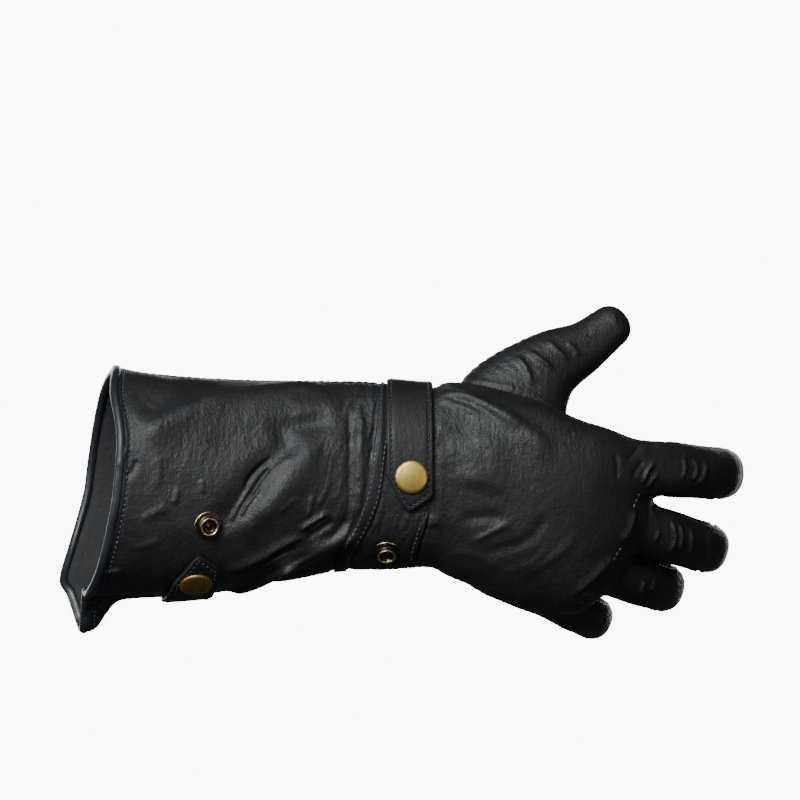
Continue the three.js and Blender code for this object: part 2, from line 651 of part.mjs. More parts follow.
// The rolled edge round the open end: a U that takes the cuff's leather in its slot.
function makeBinding() {
  const halfSlot = WALL / 2 + 2 * SEAM_GAP;
  const lip = Math.asin(halfSlot / BINDING_RADIUS);
  const steps = 5;
  const section = [];
  for (let i = 0; i <= steps; i++) {
    const a = THREE.MathUtils.lerp(lip, 2 * Math.PI - lip, i / steps);
    section.push([Math.cos(a) * BINDING_RADIUS, Math.sin(a) * BINDING_RADIUS]);
  }
  section.push([-SEAM_GAP, -halfSlot], [-SEAM_GAP, halfSlot]);
  const rings = ANGLES.map((angle) => {
    const middle = sleevePoint(0, angle, -WALL / 2);
    const out = sleevePoint(0, angle).sub(middle).normalize();
    const ahead = sleevePoint(STATIONS[1], angle, -WALL / 2).sub(middle).normalize();
    return section.map(([forward, outward]) =>
      middle.clone().addScaledVector(ahead, forward).addScaledVector(out, outward),
    );
  });
  const sides = section.length;
  const index = [];
  for (let j = 0; j < SIDES; j++) {
    for (let i = 0; i < sides; i++) {
      const next = (i + 1) % sides;
      const a = j * sides;
      const b = ((j + 1) % SIDES) * sides;
      index.push(a + i, a + next, b + i, a + next, b + next, b + i);
    }
  }
  const ring = new THREE.BufferGeometry().setFromPoints(rings.flat());
  ring.setIndex(index);
  const wall = sleeveSolid(SEAM_GAP, 0).subtract(sleeveSolid(-WALL - SEAM_GAP, SEAM_GAP));
  return toSolid(ring).subtract(wall);
}

// Regions along the sleeve
const wristSeamEnd = seamLine(WRIST_SEAM, CUFF_LENGTH, -SEAM_GAP / 2);
const wristSeamStart = seamLine(WRIST_SEAM, CUFF_LENGTH, SEAM_GAP / 2);
const handSeamEnd = seamLine(HAND_SEAM, WRIST_X, -SEAM_GAP / 2);
const handSeamStart = seamLine(HAND_SEAM, WRIST_X, SEAM_GAP / 2);
const farPast = straightLine(SLEEVE_END + OUTSIDE);
const cuffRegion = cutAcross(straightLine(-OUTSIDE), wristSeamEnd);
const bandRegion = cutAcross(wristSeamStart, handSeamEnd);
const pastWrist = cutAcross(wristSeamStart, farPast);
const pastBand = cutAcross(handSeamStart, farPast);

// The hollow, and the skins of the sleeve, the fingers and the thumb
const sleeveOuter = sleeveSolid(0, 0);
const fingerOuters = FINGERS.map((finger) => fingerSolid(finger, 0));
const hollow = [
  sleeveSolid(-WALL, OUTSIDE / 4),
  thumbSolid(-WALL),
  ...FINGERS.map((finger) => fingerSolid(finger, -WALL)),
].reduce((all, solid) => all.add(solid));
const back = backRegion(-SEAM_GAP / 2);
const backWithGap = backRegion(SEAM_GAP / 2);
const sleeveRoom = sleeveSolid(SEAM_GAP, 0);
const thumbRoom = thumbSolid(SEAM_GAP);
const join = (solids) => solids.reduce((all, solid) => all.add(solid));

// Each finger's side strips, between it and the next finger
const ACROSS_STRIP = [-FOURCHETTE_HALF, FOURCHETTE_HALF];
const strips = FINGERS.flatMap((finger, i) => {
  const room = fingerSolid(finger, SEAM_GAP);
  const makeStrip = (side, sideways) => ({
    name: `${finger.name}_side_strip_${side}`,
    strip: fingerOuters[i].intersect(fingerBar(finger, sideways, ACROSS_STRIP, 0)),
    room: room.intersect(fingerBar(finger, sideways, ACROSS_STRIP, SEAM_GAP)),
  });
  return [
    ...(i > 0 ? [makeStrip('upper', [FOURCHETTE_IN, WHOLE])] : []),
    ...(i < FINGERS.length - 1 ? [makeStrip('lower', [-WHOLE, -FOURCHETTE_IN])] : []),
  ];
});
const stripRoom = join(strips.map(({ room }) => room));

// Each finger's back half
const backHalf = (finger, margin) => fingerBar(finger, [-WHOLE, WHOLE], [0, WHOLE], margin);
const fingerBacks = join(FINGERS.map((finger, i) => fingerOuters[i].intersect(backHalf(finger, 0))));
const fingerBackRoom = join(
  FINGERS.map((finger) => fingerSolid(finger, SEAM_GAP).intersect(backHalf(finger, SEAM_GAP))),
);

// Cuff, wrist and hand
const cuff = sleeveOuter.intersect(cuffRegion).subtract(hollow);
addSolid('cuff_back', cuff.intersect(back));
addSolid('cuff_palm', cuff.subtract(backWithGap));
addSolid('wrist_band', sleeveOuter.intersect(bandRegion).intersect(back).subtract(hollow));
const handBack = sleeveOuter.intersect(pastBand).intersect(back).add(fingerBacks.subtract(stripRoom));
addSolid('hand_back', handBack.subtract(thumbRoom).subtract(hollow));
const fingerPalms = join(fingerOuters)
  .subtract(stripRoom)
  .subtract(sleeveRoom.intersect(backWithGap));
const handPalm = sleeveOuter.intersect(pastWrist).subtract(backWithGap).add(fingerPalms);
addSolid('hand_palm', handPalm.subtract(fingerBackRoom).subtract(thumbRoom).subtract(hollow));
let taken = sleeveRoom.add(hollow);
for (const { name, strip, room } of strips) {
  addSolid(name, strip.subtract(taken));
  taken = taken.add(room);
}
addSolid('thumb', thumbSolid(0).subtract(hollow));
addSolid('cuff_binding', makeBinding());

// Strap and tab
const strapX = WRIST_X - 0.46 * STRAP_WIDTH;
const strapAngle = angleAtHeight(strapX, 0.045 * WRIST_WIDTH);
const strap = laidLeather(strapX, strapAngle, 0, strapRows(STRAP_REACH, STRAP_WIDTH), 4, STRAP_THICKNESS);
addSolid('wrist_strap', strap, STRAP_LEATHER);
const tabX = 0.353 * CUFF_LENGTH;
const tabAngle = angleAtHeight(tabX, -0.406 * MOUTH_WIDTH);
const tabRows = strapRows(TAB_REACH, STRAP_WIDTH).map((row) => ({ ...row, round: -row.round }));
const tab = laidLeather(tabX, tabAngle, -8, tabRows, 4, STRAP_THICKNESS);
addSolid('cuff_tab', tab, STRAP_LEATHER);

// Snaps
const onStrap = SEAM_GAP + STRAP_THICKNESS + SEAM_GAP;
setOnSleeve('strap_snap_cap', CAP_PROFILE, strapX, strapAngle, onStrap, BRASS);
setOnSleeve('tab_snap_cap', CAP_PROFILE, tabX, tabAngle, onStrap, BRASS);
const bandStudX = WRIST_X - 0.79 * BAND_LENGTH;
const bandStudAngle = angleAtHeight(bandStudX, -0.378 * WRIST_WIDTH);
setOnSleeve('wrist_stud', STUD_PROFILE, bandStudX, bandStudAngle, SEAM_GAP, DARK_BRASS);
const cuffStudX = 0.4 * CUFF_LENGTH;
const cuffStudAngle = angleAtHeight(cuffStudX, -0.175 * MOUTH_WIDTH);
setOnSleeve('cuff_stud', STUD_PROFILE, cuffStudX, cuffStudAngle, SEAM_GAP, DARK_BRASS);

export default glove;
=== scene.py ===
# A right-hand black leather gauntlet glove, worn: long flared cuff, snapped wrist strap, curled fingers.
# +X runs from the open end of the cuff to the fingertips, +Z points to the thumb side of the hand and
# -Y is the way the back of the hand faces. Sizes are millimetres of the real glove until a mesh is made.
# The camera's distance, the stage and the lights are in metres.
import json
import math

import bpy
import numpy as np
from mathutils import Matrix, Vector
from mathutils.bvhtree import BVHTree

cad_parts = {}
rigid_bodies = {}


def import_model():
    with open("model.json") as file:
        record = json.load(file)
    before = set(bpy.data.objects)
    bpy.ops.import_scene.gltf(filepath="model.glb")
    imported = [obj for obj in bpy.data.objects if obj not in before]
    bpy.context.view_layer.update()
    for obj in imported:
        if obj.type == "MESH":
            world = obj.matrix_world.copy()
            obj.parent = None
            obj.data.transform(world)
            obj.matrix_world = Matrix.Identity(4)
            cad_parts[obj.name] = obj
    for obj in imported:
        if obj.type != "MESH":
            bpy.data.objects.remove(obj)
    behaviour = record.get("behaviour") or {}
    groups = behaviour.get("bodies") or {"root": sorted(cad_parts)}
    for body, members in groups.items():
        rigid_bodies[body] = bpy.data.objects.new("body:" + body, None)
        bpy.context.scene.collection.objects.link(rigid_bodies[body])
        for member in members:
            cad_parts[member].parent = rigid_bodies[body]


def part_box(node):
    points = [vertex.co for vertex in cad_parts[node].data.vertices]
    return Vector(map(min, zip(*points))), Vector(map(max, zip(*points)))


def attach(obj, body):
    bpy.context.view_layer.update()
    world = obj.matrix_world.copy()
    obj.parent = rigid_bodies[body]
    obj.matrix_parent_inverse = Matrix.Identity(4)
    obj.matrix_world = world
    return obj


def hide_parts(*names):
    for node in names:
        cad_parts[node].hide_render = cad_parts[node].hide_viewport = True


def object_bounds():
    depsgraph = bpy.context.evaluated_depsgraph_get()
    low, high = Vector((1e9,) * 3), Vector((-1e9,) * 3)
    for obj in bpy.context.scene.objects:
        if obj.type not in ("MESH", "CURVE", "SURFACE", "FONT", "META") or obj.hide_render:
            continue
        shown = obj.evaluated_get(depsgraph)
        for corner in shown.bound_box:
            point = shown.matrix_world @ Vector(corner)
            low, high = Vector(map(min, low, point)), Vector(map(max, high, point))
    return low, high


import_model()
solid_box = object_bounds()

# Driving sizes
GLOVE_LENGTH = 305.8
MM = (solid_box[1].x - solid_box[0].x) / GLOVE_LENGTH  # one millimetre of the glove, in metres
WALL = 2.0
CLEARANCE = 0.3  # between pieces that are sewn or pressed together
STRAP_THICKNESS = 2.0
CUFF_LENGTH = 122.0
BAND_LENGTH = 25.0
PALM_LENGTH = 97.0
MOUTH_WIDTH = 103.0
MOUTH_DEPTH = 88.0
WRIST_WIDTH = 80.0
WRIST_DEPTH = 57.0
PALM_WIDTH = 93.0
PALM_DEPTH = 48.0
FINGER_LENGTH = 109.0
FINGER_WIDTH = 24.0
THUMB_WIDTH = 19.5
STRAP_WIDTH = 19.0
STRAP_REACH = 70.0
STRAP_EXTRA = 1.5  # the strap is wider on the cuff side of its snap
TAB_REACH = 34.0
STRAP_EDGE = 0.9  # how round the strap's edges are
POINT_LENGTH = 15.0
CAP_RADIUS = 7.4
CAP_HEIGHT = 2.4
STUD_RADIUS = 6.4
STUD_HEIGHT = 3.6
WRIST_X = CUFF_LENGTH + BAND_LENGTH
SLEEVE_END = WRIST_X + PALM_LENGTH
SECTION_POWER = 2.3  # 2 is an ellipse, more is squarer
FINGER_POWER = 2.25
THUMB_POWER = 2.2
ROLL_AHEAD = 2.15  # half sizes of the rolled edge along the glove and out of the leather
ROLL_OUT = 2.1
STRIP_HALF = 3.1  # half width of the strip over the wrist seam
FAR = 99.0  # stands for any place far from a surface

# Thread, and how far its rows lie from the cuff's edge, the wrist seam's middle and a strap's edge
STITCH_PITCH = 2.5
STITCH_LENGTH = 1.75
STITCH_RADIUS = 0.44
STITCH_LIFT = 0.14
HEM_STITCHES = 4.5
STRIP_STITCHES = 2.1
STRAP_STITCHES = 2.0

# Panels of the cuff: first and last angle, rows and columns of the mesh
CUFF_PANELS = [
    ("cuff_back", -90, 90, 200, 240),
    ("cuff_palm", 90, 270, 100, 150),
]

# The box in which the hand's skin is looked for, and the steps for its outer and inner side
HAND_LOW = np.array([98.0, -44.0, -82.0])
HAND_HIGH = np.array([292.0, 90.0, 80.0])
HAND_STEP = 0.85
LINING_STEP = 2.2

# Sleeve sections up to the wrist: share of the way from the open end to the hand seam, width and depth
# (0 is the open end's size and 1 the wrist's), rise as a share of MOUTH_WIDTH.
CUFF_SECTIONS = [
    (0.0, 0.0, 0.0, 0.0),
    (0.15, 0.14, 0.1, -0.005),
    (0.3, 0.3, 0.23, -0.006),
    (0.46, 0.5, 0.4, 0.006),
    (0.61, 0.7, 0.6, 0.025),
    (0.73, 0.86, 0.76, 0.038),
    (0.87, 0.9, 0.92, 0.036),
    (1.0, 1.0, 1.0, 0.034),
]

# Palm sections: share of PALM_LENGTH, width (of PALM_WIDTH), depth (of PALM_DEPTH), rise (of PALM_WIDTH),
# sway towards the palm side (of PALM_DEPTH), roll in degrees.
PALM_SECTIONS = [
    (0.09, 0.925, 1.12, 0.024, 0.0, 1),
    (0.32, 0.985, 1.06, -0.038, 0.0, 4),
    (0.535, 0.98, 0.94, -0.11, 0.0, 8),
    (0.68, 0.92, 0.82, -0.15, 0.03, 10),
    (0.81, 0.76, 0.68, -0.118, 0.09, 11),
    (0.92, 0.52, 0.52, -0.07, 0.18, 11),
    (1.0, 0.24, 0.3, -0.03, 0.27, 11),
]

# How far the open end stands out round its edge: angle, share of CUFF_LENGTH.
RIM_SHIFTS = [
    (-180, -0.05), (-150, -0.11), (-125, -0.14), (-112, -0.11), (-100, -0.065), (-75, -0.045), (-45, 0.005),
    (-22, 0.04), (0, 0.07), (22, 0.08), (50, 0.055), (90, 0.055), (135, 0.0), (180, -0.05),
]

# Main folds: from and to (share of WRIST_X, degrees round the sleeve), spread and height (of WRIST_WIDTH).
FOLDS = [
    (-0.12, -104, 0.025, -100, 0.085, 0.18),
    (-0.08, -80, 0.16, -84, 0.06, -0.04),
    (0.43, -84, 0.57, -55, 0.06, 0.036),
    (0.57, -55, 0.74, -38, 0.055, 0.036),
    (0.5, -86, 0.74, -54, 0.065, -0.03),
    (0.14, 28, 0.6, 68, 0.12, 0.026),
    (0.4, 22, 0.8, 36, 0.1, -0.02),
    (0.39, -14, 0.56, 17, 0.07, -0.03),
    (0.46, -20, 0.63, 11, 0.07, 0.022),
    (0.78, -24, 0.79, 34, 0.04, 0.008),
    (0.752, -24, 0.755, 36, 0.036, -0.009),
    (1.05, 60, 1.32, 38, 0.07, 0.022),
]

# Seam lines: place along the glove; rise above the wrist's middle (of WRIST_WIDTH) and shift to the
# fingers there (of BAND_LENGTH).
WRIST_SEAM = (
    CUFF_LENGTH,
    [(-1.2, -1.1), (-0.45, -0.55), (-0.3, -0.27), (-0.15, -0.06), (0.0, 0.04), (0.5, 0.22), (1.2, 0.3)],
)
HAND_SEAM = (WRIST_X, [(-1.2, -0.6), (-0.45, -0.3), (-0.2, -0.08), (0.0, 0.02), (1.2, 0.02)])

# Fingers: knuckle along, rise and out to the palm side (of the palm's sizes), dip in degrees, lengths (of
# FINGER_LENGTH), bends in degrees, radii at root, middle and tip (of FINGER_WIDTH).
FINGERS = {
    "index": (0.74, 0.105, -0.02, -5, (0.422, 0.248, 0.147), (29, 57, 78), (0.53, 0.5, 0.465)),
    "middle": (0.7, -0.125, -0.02, -17, (0.459, 0.284, 0.156), (35, 61, 82), (0.51, 0.485, 0.455)),
    "ring": (0.59, -0.335, 0.0, -18, (0.431, 0.266, 0.156), (38, 67, 90), (0.48, 0.46, 0.435)),
    "little": (0.42, -0.47, 0.02, -27, (0.349, 0.202, 0.128), (42, 71, 93), (0.42, 0.4, 0.375)),
}
FINGER_FLATNESS = 0.93
FINGER_ROOT = 0.1

# Strips between the fingers, in radii of the finger: half width, and how far from its middle they start.
# Then the shares of the finger's length where they begin to narrow and where they end.
FOURCHETTE_HALF = 0.46
FOURCHETTE_IN = 0.3
FOURCHETTE_TAPER = 0.72
FOURCHETTE_END = 0.93

# Creases across the fingers' palm side: share of the finger's length, depth, width.
FINGER_WRINKLES = [
    (0.3, 0.5, 1.5), (0.47, 0.7, 1.6), (0.53, 0.9, 1.5),
    (0.58, 0.6, 1.4), (0.79, 0.6, 1.3), (0.84, 0.6, 1.3),
]

# Thumb: along, rise, out (of the palm's sizes), half sizes wide and deep (of THUMB_WIDTH).
THUMB_SECTIONS = [
    (0.17, -0.2, 0.08, 0.9, 0.5),
    (0.28, 0.09, 0.24, 1.5, 0.88),
    (0.38, 0.37, 0.33, 1.33, 0.9),
    (0.52, 0.55, 0.42, 0.87, 0.78),
    (0.7, 0.66, 0.52, 0.6, 0.58),
    (0.815, 0.75, 0.58, 0.5, 0.49),
]

# Creases seen from the back of the hand: points (x, z), height, and the width, or two widths: before and
# after the line (its left and right hand side). Dents are negative.
CUFF_CREASES = [
    ([(16, 19), (28, 28), (40, 34), (52, 39), (64, 43)], 1.5, 4.5, 5.5),
    ([(17, 30), (29, 37), (44, 43)], -1.1, 4.5),
    ([(58, -17), (62, -9), (65, -4), (68, 2)], 1.1, 0.9),
    ([(64, -4), (67, 3), (71, 7.5), (77, 13)], -1.7, 1.1),
    ([(62, -15), (66.5, -7.5), (70.6, -2.4), (73, 2)], 1.0, 0.8),
    ([(66, -6), (68.8, -1.5), (72, 3.5), (77, 9)], -1.4, 0.9),
    ([(74, 2), (80, 9), (87, 13)], 0.5, 1.6),
    ([(79, -13), (84, -8), (89, -5)], 0.35, 1.4),
    ([(70, -20), (84, -3), (100, 10)], 1.3, 8, 9),
    ([(75, 19), (90, 27), (104, 31)], -1.0, 5),
    ([(54, -39), (63, -36), (74, -31), (83, -25.5), (93, -22.5)], 1.7, 2.2, 0.6),
    ([(55, -43), (66, -39), (78, -33), (88, -27)], 0.8, 1.2, 0.8),
    ([(56, -41), (68, -37), (79, -31.5), (90, -26)], -0.9, 1.0),
    ([(60, -47), (72, -42), (86, -34), (99, -28)], -1.2, 2.0, 3.0),
    ([(88, -21), (96, -15.5), (103, -12)], 1.2, 1.6, 0.8),
    ([(91, -24), (98, -19.5), (105, -15)], -1.0, 1.4),
    ([(92.5, -15), (94, -8), (95, -3)], 0.9, 1.1),
    ([(96, -10), (100, -4), (103, 4)], 0.5, 1.4),
    ([(98, -26), (105, -21), (110, -14)], -0.9, 2.0),
    ([(0, -38.5), (6, -38), (12, -37.5)], 1.0, 1.0),
    ([(15, -29), (22, -26), (29, -24)], 0.6, 1.8),
    ([(18, -16), (25, -12), (32, -9)], 0.6, 2.0),
    ([(9.5, 7), (11, 12), (13.5, 18)], 0.9, 1.1),
    ([(12, 3), (15, 6), (18, 12)], -0.8, 1.3),
    ([(35.5, -1), (34.8, -5), (33.5, -9)], 0.6, 1.0, 1.4),
    ([(46, 3), (46, 0), (46.5, -4)], 0.5, 0.9, 1.2),
    ([(26, 14), (27, 6), (25, -2)], 0.4, 2.0),
    ([(111.2, 36), (110.9, 12), (110.6, -8), (106, -26)], -0.6, 2.4, 1.1),
    ([(116.6, 38), (116.2, 12), (115.0, -9), (109, -26)], 0.45, 1.3, 3.0),
    ([(-4, -56), (2, -56), (8, -54)], 0.9, 1.2),
    ([(-9, -52), (-8, -56), (-6, -60)], -1.6, 1.2),
    ([(22, -42), (34, -37), (44, -30)], 0.5, 2.5),
    ([(84, 30), (97, 34), (110, 35)], 0.7, 4),
    ([(72, 24), (86, 27), (102, 25)], -0.7, 4),
]
HAND_CREASES = [
    ([(152, 42), (164, 39), (178, 32), (190, 26)], 1.5, 2.2, 2.8),
    ([(150, 38), (160, 35), (170, 30)], 0.6, 1.4),
    ([(152, 39.5), (166, 36), (180, 27.5)], -0.9, 1.3, 1.8),
    ([(153, 45), (175, 42.5), (191, 38)], -1.1, 2.6),
    ([(169, 26), (168, 12), (165, -4)], 1.5, 13, 10),
    ([(157, 22), (156, 14), (155, 4)], 0.35, 3),
    ([(150, -7), (148.5, -14), (148, -20)], 1.1, 2.6, 3.0),
    ([(156, 27), (166, 18), (173, 6)], -0.5, 3.5),
    ([(159, -15.5), (170, -14), (181, -14.5)], -0.9, 2.6),
    ([(164, -26), (175, -20), (183, -16)], 0.8, 1.3),
    ([(152, -30), (166, -31), (180, -38)], 0.5, 1.8, 2.4),
    ([(186, -41), (204, -30), (213, -20)], 0.6, 2.2),
    ([(168, -31), (190, -24), (200, -11)], -0.8, 2.4),
    ([(176, -40), (190, -35), (200, -27)], 0.4, 1.4),
    ([(228.5, 15), (229.5, 8), (229.5, 2)], -0.8, 1.1),
    ([(233, 11), (237, 14), (240, 18)], -0.8, 1.3),
    ([(240, -0.5), (243, 6), (247, 11)], 1.2, 0.75),
    ([(242, -2), (244.5, 1.5), (248, 5)], 1.0, 0.7),
    ([(236, 2), (238.5, 7), (242, 12)], -0.7, 1.0),
    ([(263.5, 12), (265, 6.5), (263, 1)], 1.2, 0.75),
    ([(268, 12), (269, 6.5), (265, -1)], 1.2, 0.75),
    ([(259, 13), (260, 7), (258, 1)], 0.8, 0.7),
    ([(238, -9.5), (236, -18), (231, -27)], 1.5, 0.9, 1.8),
    ([(229.5, -31), (220, -40), (208.5, -50)], 1.5, 0.9, 2.0),
    ([(211, -48.5), (222, -49.5), (228, -53)], 1.0, 1.0, 1.2),
    ([(254, -15), (255.5, -24), (253, -31)], 1.3, 0.7),
    ([(257.5, -16.5), (258.5, -24), (256.5, -31)], 1.15, 0.65),
    ([(262.5, -19), (263, -26), (261.5, -33)], 1.2, 0.65),
    ([(270.5, -21), (271, -28), (269, -35)], 1.0, 0.65),
    ([(248.5, -19.5), (248, -22.5), (246, -26)], 1.0, 0.7),
    ([(246.5, -34), (248, -36), (249, -39)], 0.9, 0.65),
    ([(242, -42), (241.5, -45), (239.5, -49.5)], 1.2, 0.75),
    ([(246.5, -42), (246, -45), (244.5, -48)], 0.9, 0.65),
    ([(214, -51), (213.5, -53), (213, -56)], 0.9, 0.65),
]
THUMB_CREASES = [
    ([(184, 58), (189, 52), (192, 43)], 1.3, 1.3),
    ([(189.5, 60), (196, 55.5), (202, 50)], 1.2, 1.2),
    ([(197.5, 65), (204, 59), (209, 54)], 1.0, 1.2),
    ([(207, 64), (210, 61), (213.5, 57)], 0.8, 1.1),
]
# Creases on the palm side, the same way.
PALM_CREASES = [
    ([(165, 20), (185, 8), (205, 6), (222, 12)], -1.0, 2.5),
    ([(180, -30), (200, -18), (216, -14)], -0.9, 2.5),
    ([(150, 5), (160, -5), (168, -18)], -0.6, 3),
    ([(60, 30), (75, 20), (92, 14)], 1.0, 4),
    ([(66, -30), (84, -18), (104, -14)], -1.2, 4),
    ([(24, 10), (40, 2), (58, -2)], 0.8, 5),
    ([(98, 26), (108, 12), (111, -6)], -1.0, 2.4),
]

# The point of the strap and of the tab: across (of half the width), round (of POINT_LENGTH).
POINT_SHAPE = [
    (-1.0, 0.07), (-0.95, -0.04), (-0.62, -0.5), (-0.34, -0.86), (-0.16, -1.0), (0.06, -0.97),
    (0.5, -0.78), (0.9, -0.6), (1.0, -0.5),
]

# Rows of stitches where two fingers part: first and last place (x, z).
CROTCH_STITCHES = [((239.5, -3.5), (237.0, -9.5)), ((231.5, -27.5), (228.0, -33.0))]

# Half sections of the snaps: radius and height, as shares of the snap's own.
CAP_SHAPE = [
    (0.001, 0.0), (0.92, 0.0), (0.99, 0.1), (1.0, 0.24), (0.985, 0.4), (0.95, 0.55), (0.9, 0.66),
    (0.84, 0.74), (0.78, 0.78), (0.7, 0.815), (0.6, 0.86), (0.48, 0.91), (0.34, 0.955), (0.18, 0.985),
    (0.001, 1.0),
]
STUD_SHAPE = [
    (0.001, 0.0), (0.96, 0.0), (1.0, 0.05), (0.995, 0.13), (0.96, 0.2), (0.9, 0.23), (0.8, 0.22),
    (0.72, 0.25), (0.655, 0.31), (0.62, 0.4), (0.6, 0.52), (0.615, 0.66), (0.645, 0.78), (0.655, 0.88),
    (0.63, 0.97), (0.585, 1.0), (0.53, 0.97), (0.49, 0.88), (0.45, 0.72), (0.42, 0.58), (0.36, 0.5),
    (0.28, 0.48), (0.2, 0.5), (0.17, 0.6), (0.14, 0.68), (0.08, 0.73), (0.001, 0.74),
]

# Leather and thread: darkest and lightest colour, least and most roughness, grain, wrinkles, shine.
LEATHERS = {
    "black_leather": ((0.005, 0.0056, 0.0062), (0.0095, 0.0108, 0.012), (0.42, 0.6), 0.45, 0.5),
    "rolled_edge_leather": ((0.008, 0.0095, 0.012), (0.014, 0.017, 0.021), (0.36, 0.46), 0.12, 0.15),
    "strap_leather": ((0.0055, 0.006, 0.0068), (0.01, 0.0112, 0.0126), (0.46, 0.6), 0.35, 0.3, 0.3),
    "flesh_side_leather": ((0.011, 0.011, 0.0115), (0.018, 0.018, 0.019), (0.8, 0.95), 0.8, 0.6),
    "black_thread": ((0.02, 0.023, 0.026), (0.042, 0.047, 0.053), (0.34, 0.46), 0.1, 0.1),
    "waxed_thread": ((0.01, 0.0115, 0.013), (0.02, 0.023, 0.026), (0.36, 0.5), 0.1, 0.1),
}

# Brass: bright and dull colour, least and most roughness, scale of the stains.
BRASSES = {
    "antique_brass": ((0.61, 0.445, 0.115), (0.37, 0.245, 0.055), (0.4, 0.6), 420.0),
    # The tab's snap cap gets a darker copy of the antique brass: painted shade, as that cap sits low on the
    # cuff.
    "shaded_cap_brass": ((0.36, 0.235, 0.065), (0.19, 0.11, 0.035), (0.42, 0.62), 420.0),
    "worn_brass": ((0.6, 0.5, 0.28), (0.3, 0.23, 0.11), (0.22, 0.4), 600.0),
    "dark_antique_brass": ((0.085, 0.06, 0.034), (0.022, 0.018, 0.015), (0.3, 0.5), 380.0),
}

# The camera: width of its view and the middle of it, in millimetres, and its distance in metres.
FRAME_WIDTH = 355.0
FRAME_X = 133.2
FRAME_Z = 37.7
CAMERA_DISTANCE = 6.0

# Lights: location and size in metres, watts, colour. All shine on one place, the middle of the stage.
LIGHT_TARGET = (0.13, 0, 0)
LIGHTS = [
    ("key", (-1.0, -2.6, 1.65), (1.3, 1.1), 160, (0.95, 0.98, 1.0)),
    ("left", (-2.6, -1.3, 0.7), (0.5, 0.9), 36, (0.95, 0.98, 1.0)),
    ("right", (1.9, -2.4, -0.1), (0.35, 0.8), 11, (0.97, 0.985, 1.0)),
    ("top", (0.1, -0.9, 2.2), (1.2, 0.7), 7, (0.95, 0.98, 1.0)),
    ("behind", (-0.2, 3.0, 0.25), (3.2, 1.4), 75, (0.97, 0.985, 1.0)),
]

# Shaping helpers


def curve_through(places, values, at):
    """A smooth curve through values at their places, read anywhere along it."""
    places = np.asarray(places, float)
    values = np.asarray(values, float)
    at = np.clip(at, places[0], places[-1])
    i = np.clip(np.searchsorted(places, at, side="right") - 1, 0, len(places) - 2)
    low = np.maximum(np.arange(len(places)) - 1, 0)
    high = np.minimum(np.arange(len(places)) + 1, len(places) - 1)
    slopes = (values[high] - values[low]) / (places[high] - places[low])
    span = places[i + 1] - places[i]
    t = (at - places[i]) / span
    rise = values[i + 1] - values[i]
    start = slopes[i] * span
    end = slopes[i + 1] * span
    return values[i] + t * (start + t * (3 * rise - 2 * start - end + t * (start + end - 2 * rise)))


def smooth_step(low, high, value):
    """0 below low, 1 above high and a smooth rise between them."""
    t = np.clip((value - low) / (high - low), 0, 1)
    return t * t * (3 - 2 * t)


def signed_power(value, power):
    return np.sign(value) * np.abs(value) ** power


def unit(vectors):
    return vectors / np.maximum(np.linalg.norm(vectors, axis=-1, keepdims=True), 1e-9)


def way_along(points):
    """The way gone along a line at each of its points."""
    return np.r_[0, np.cumsum(np.linalg.norm(np.diff(points, axis=0), axis=1))]


def bell(distance, width):
    """A smooth bump: 1 at distance 0, near 0 past two widths."""
    return np.exp(-((distance / width) ** 2))


def hashed(cells, seed):
    """A steady pseudo-random number from 0 to 1 for each whole-numbered cell."""
    mixed = (cells[..., 0] * 73856093) ^ (cells[..., 1] * 19349663)
    mixed = mixed ^ (cells[..., 2] * 83492791) ^ (seed * 2654435)
    mixed = (mixed ^ (mixed >> 13)) * 1274126177
    mixed = mixed ^ (mixed >> 16)
    return (mixed & 0xFFFF) / 65535.0


def noise(points, size, seed):
    """Smooth noise from -1 to 1 whose lumps have a size, one number or one for each axis."""
    scaled = points / np.asarray(size, float)
    cell = np.floor(scaled).astype(np.int64)
    part = scaled - cell
    part = part * part * (3 - 2 * part)
    total = 0
    for corner in np.ndindex(2, 2, 2):
        corner = np.array(corner)
        weight = np.prod(np.where(corner, part, 1 - part), axis=-1)
        total = total + weight * hashed(cell + corner, seed)
    return 2 * total - 1


def smooth_line(points, parts=6):
    """More points on a smooth curve through a few."""
    points = np.asarray(points, float)
    places = way_along(points)
    at = np.linspace(0, places[-1], parts * (len(points) - 1) + 1)
    return np.stack([curve_through(places, points[:, k], at) for k in range(points.shape[1])], axis=1)


def line_distance(places, line):
    """Signed distance of plane places from a line, and how far along it they are as a share."""
    best = np.full(len(places), np.inf)
    side = np.zeros(len(places))
    share = np.zeros(len(places))
    count = len(line) - 1
    for k in range(count):
        along = line[k + 1] - line[k]
        offset = places - line[k]
        t = np.clip(offset @ along / (along @ along), 0, 1)
        left = offset - t[:, None] * along
        distance = np.hypot(left[:, 0], left[:, 1])
        closer = distance < best
        best = np.where(closer, distance, best)
        side = np.where(closer, np.sign(along[0] * offset[:, 1] - along[1] * offset[:, 0]), side)
        share = np.where(closer, (k + t) / count, share)
    return best * np.where(side < 0, -1, 1), share


def crease_height(places, creases):
    """The height that a table of creases gives at places in the plane of the hand."""
    total = np.zeros(len(places))
    for points, height, *widths in creases:
        line = smooth_line(points)
        reach = 2.6 * max(widths)
        near = np.all((places > line.min(0) - reach) & (places < line.max(0) + reach), axis=1)
        if not near.any():
            continue
        distance, share = line_distance(places[near], line)
        width = np.where(distance > 0, widths[0], widths[-1])
        taper = smooth_step(0, 0.25, share) * (1 - smooth_step(0.75, 1, share))
        total[near] += height * taper * bell(distance, width)
    return total


# The sleeve: cuff, wrist and palm as one hollow form


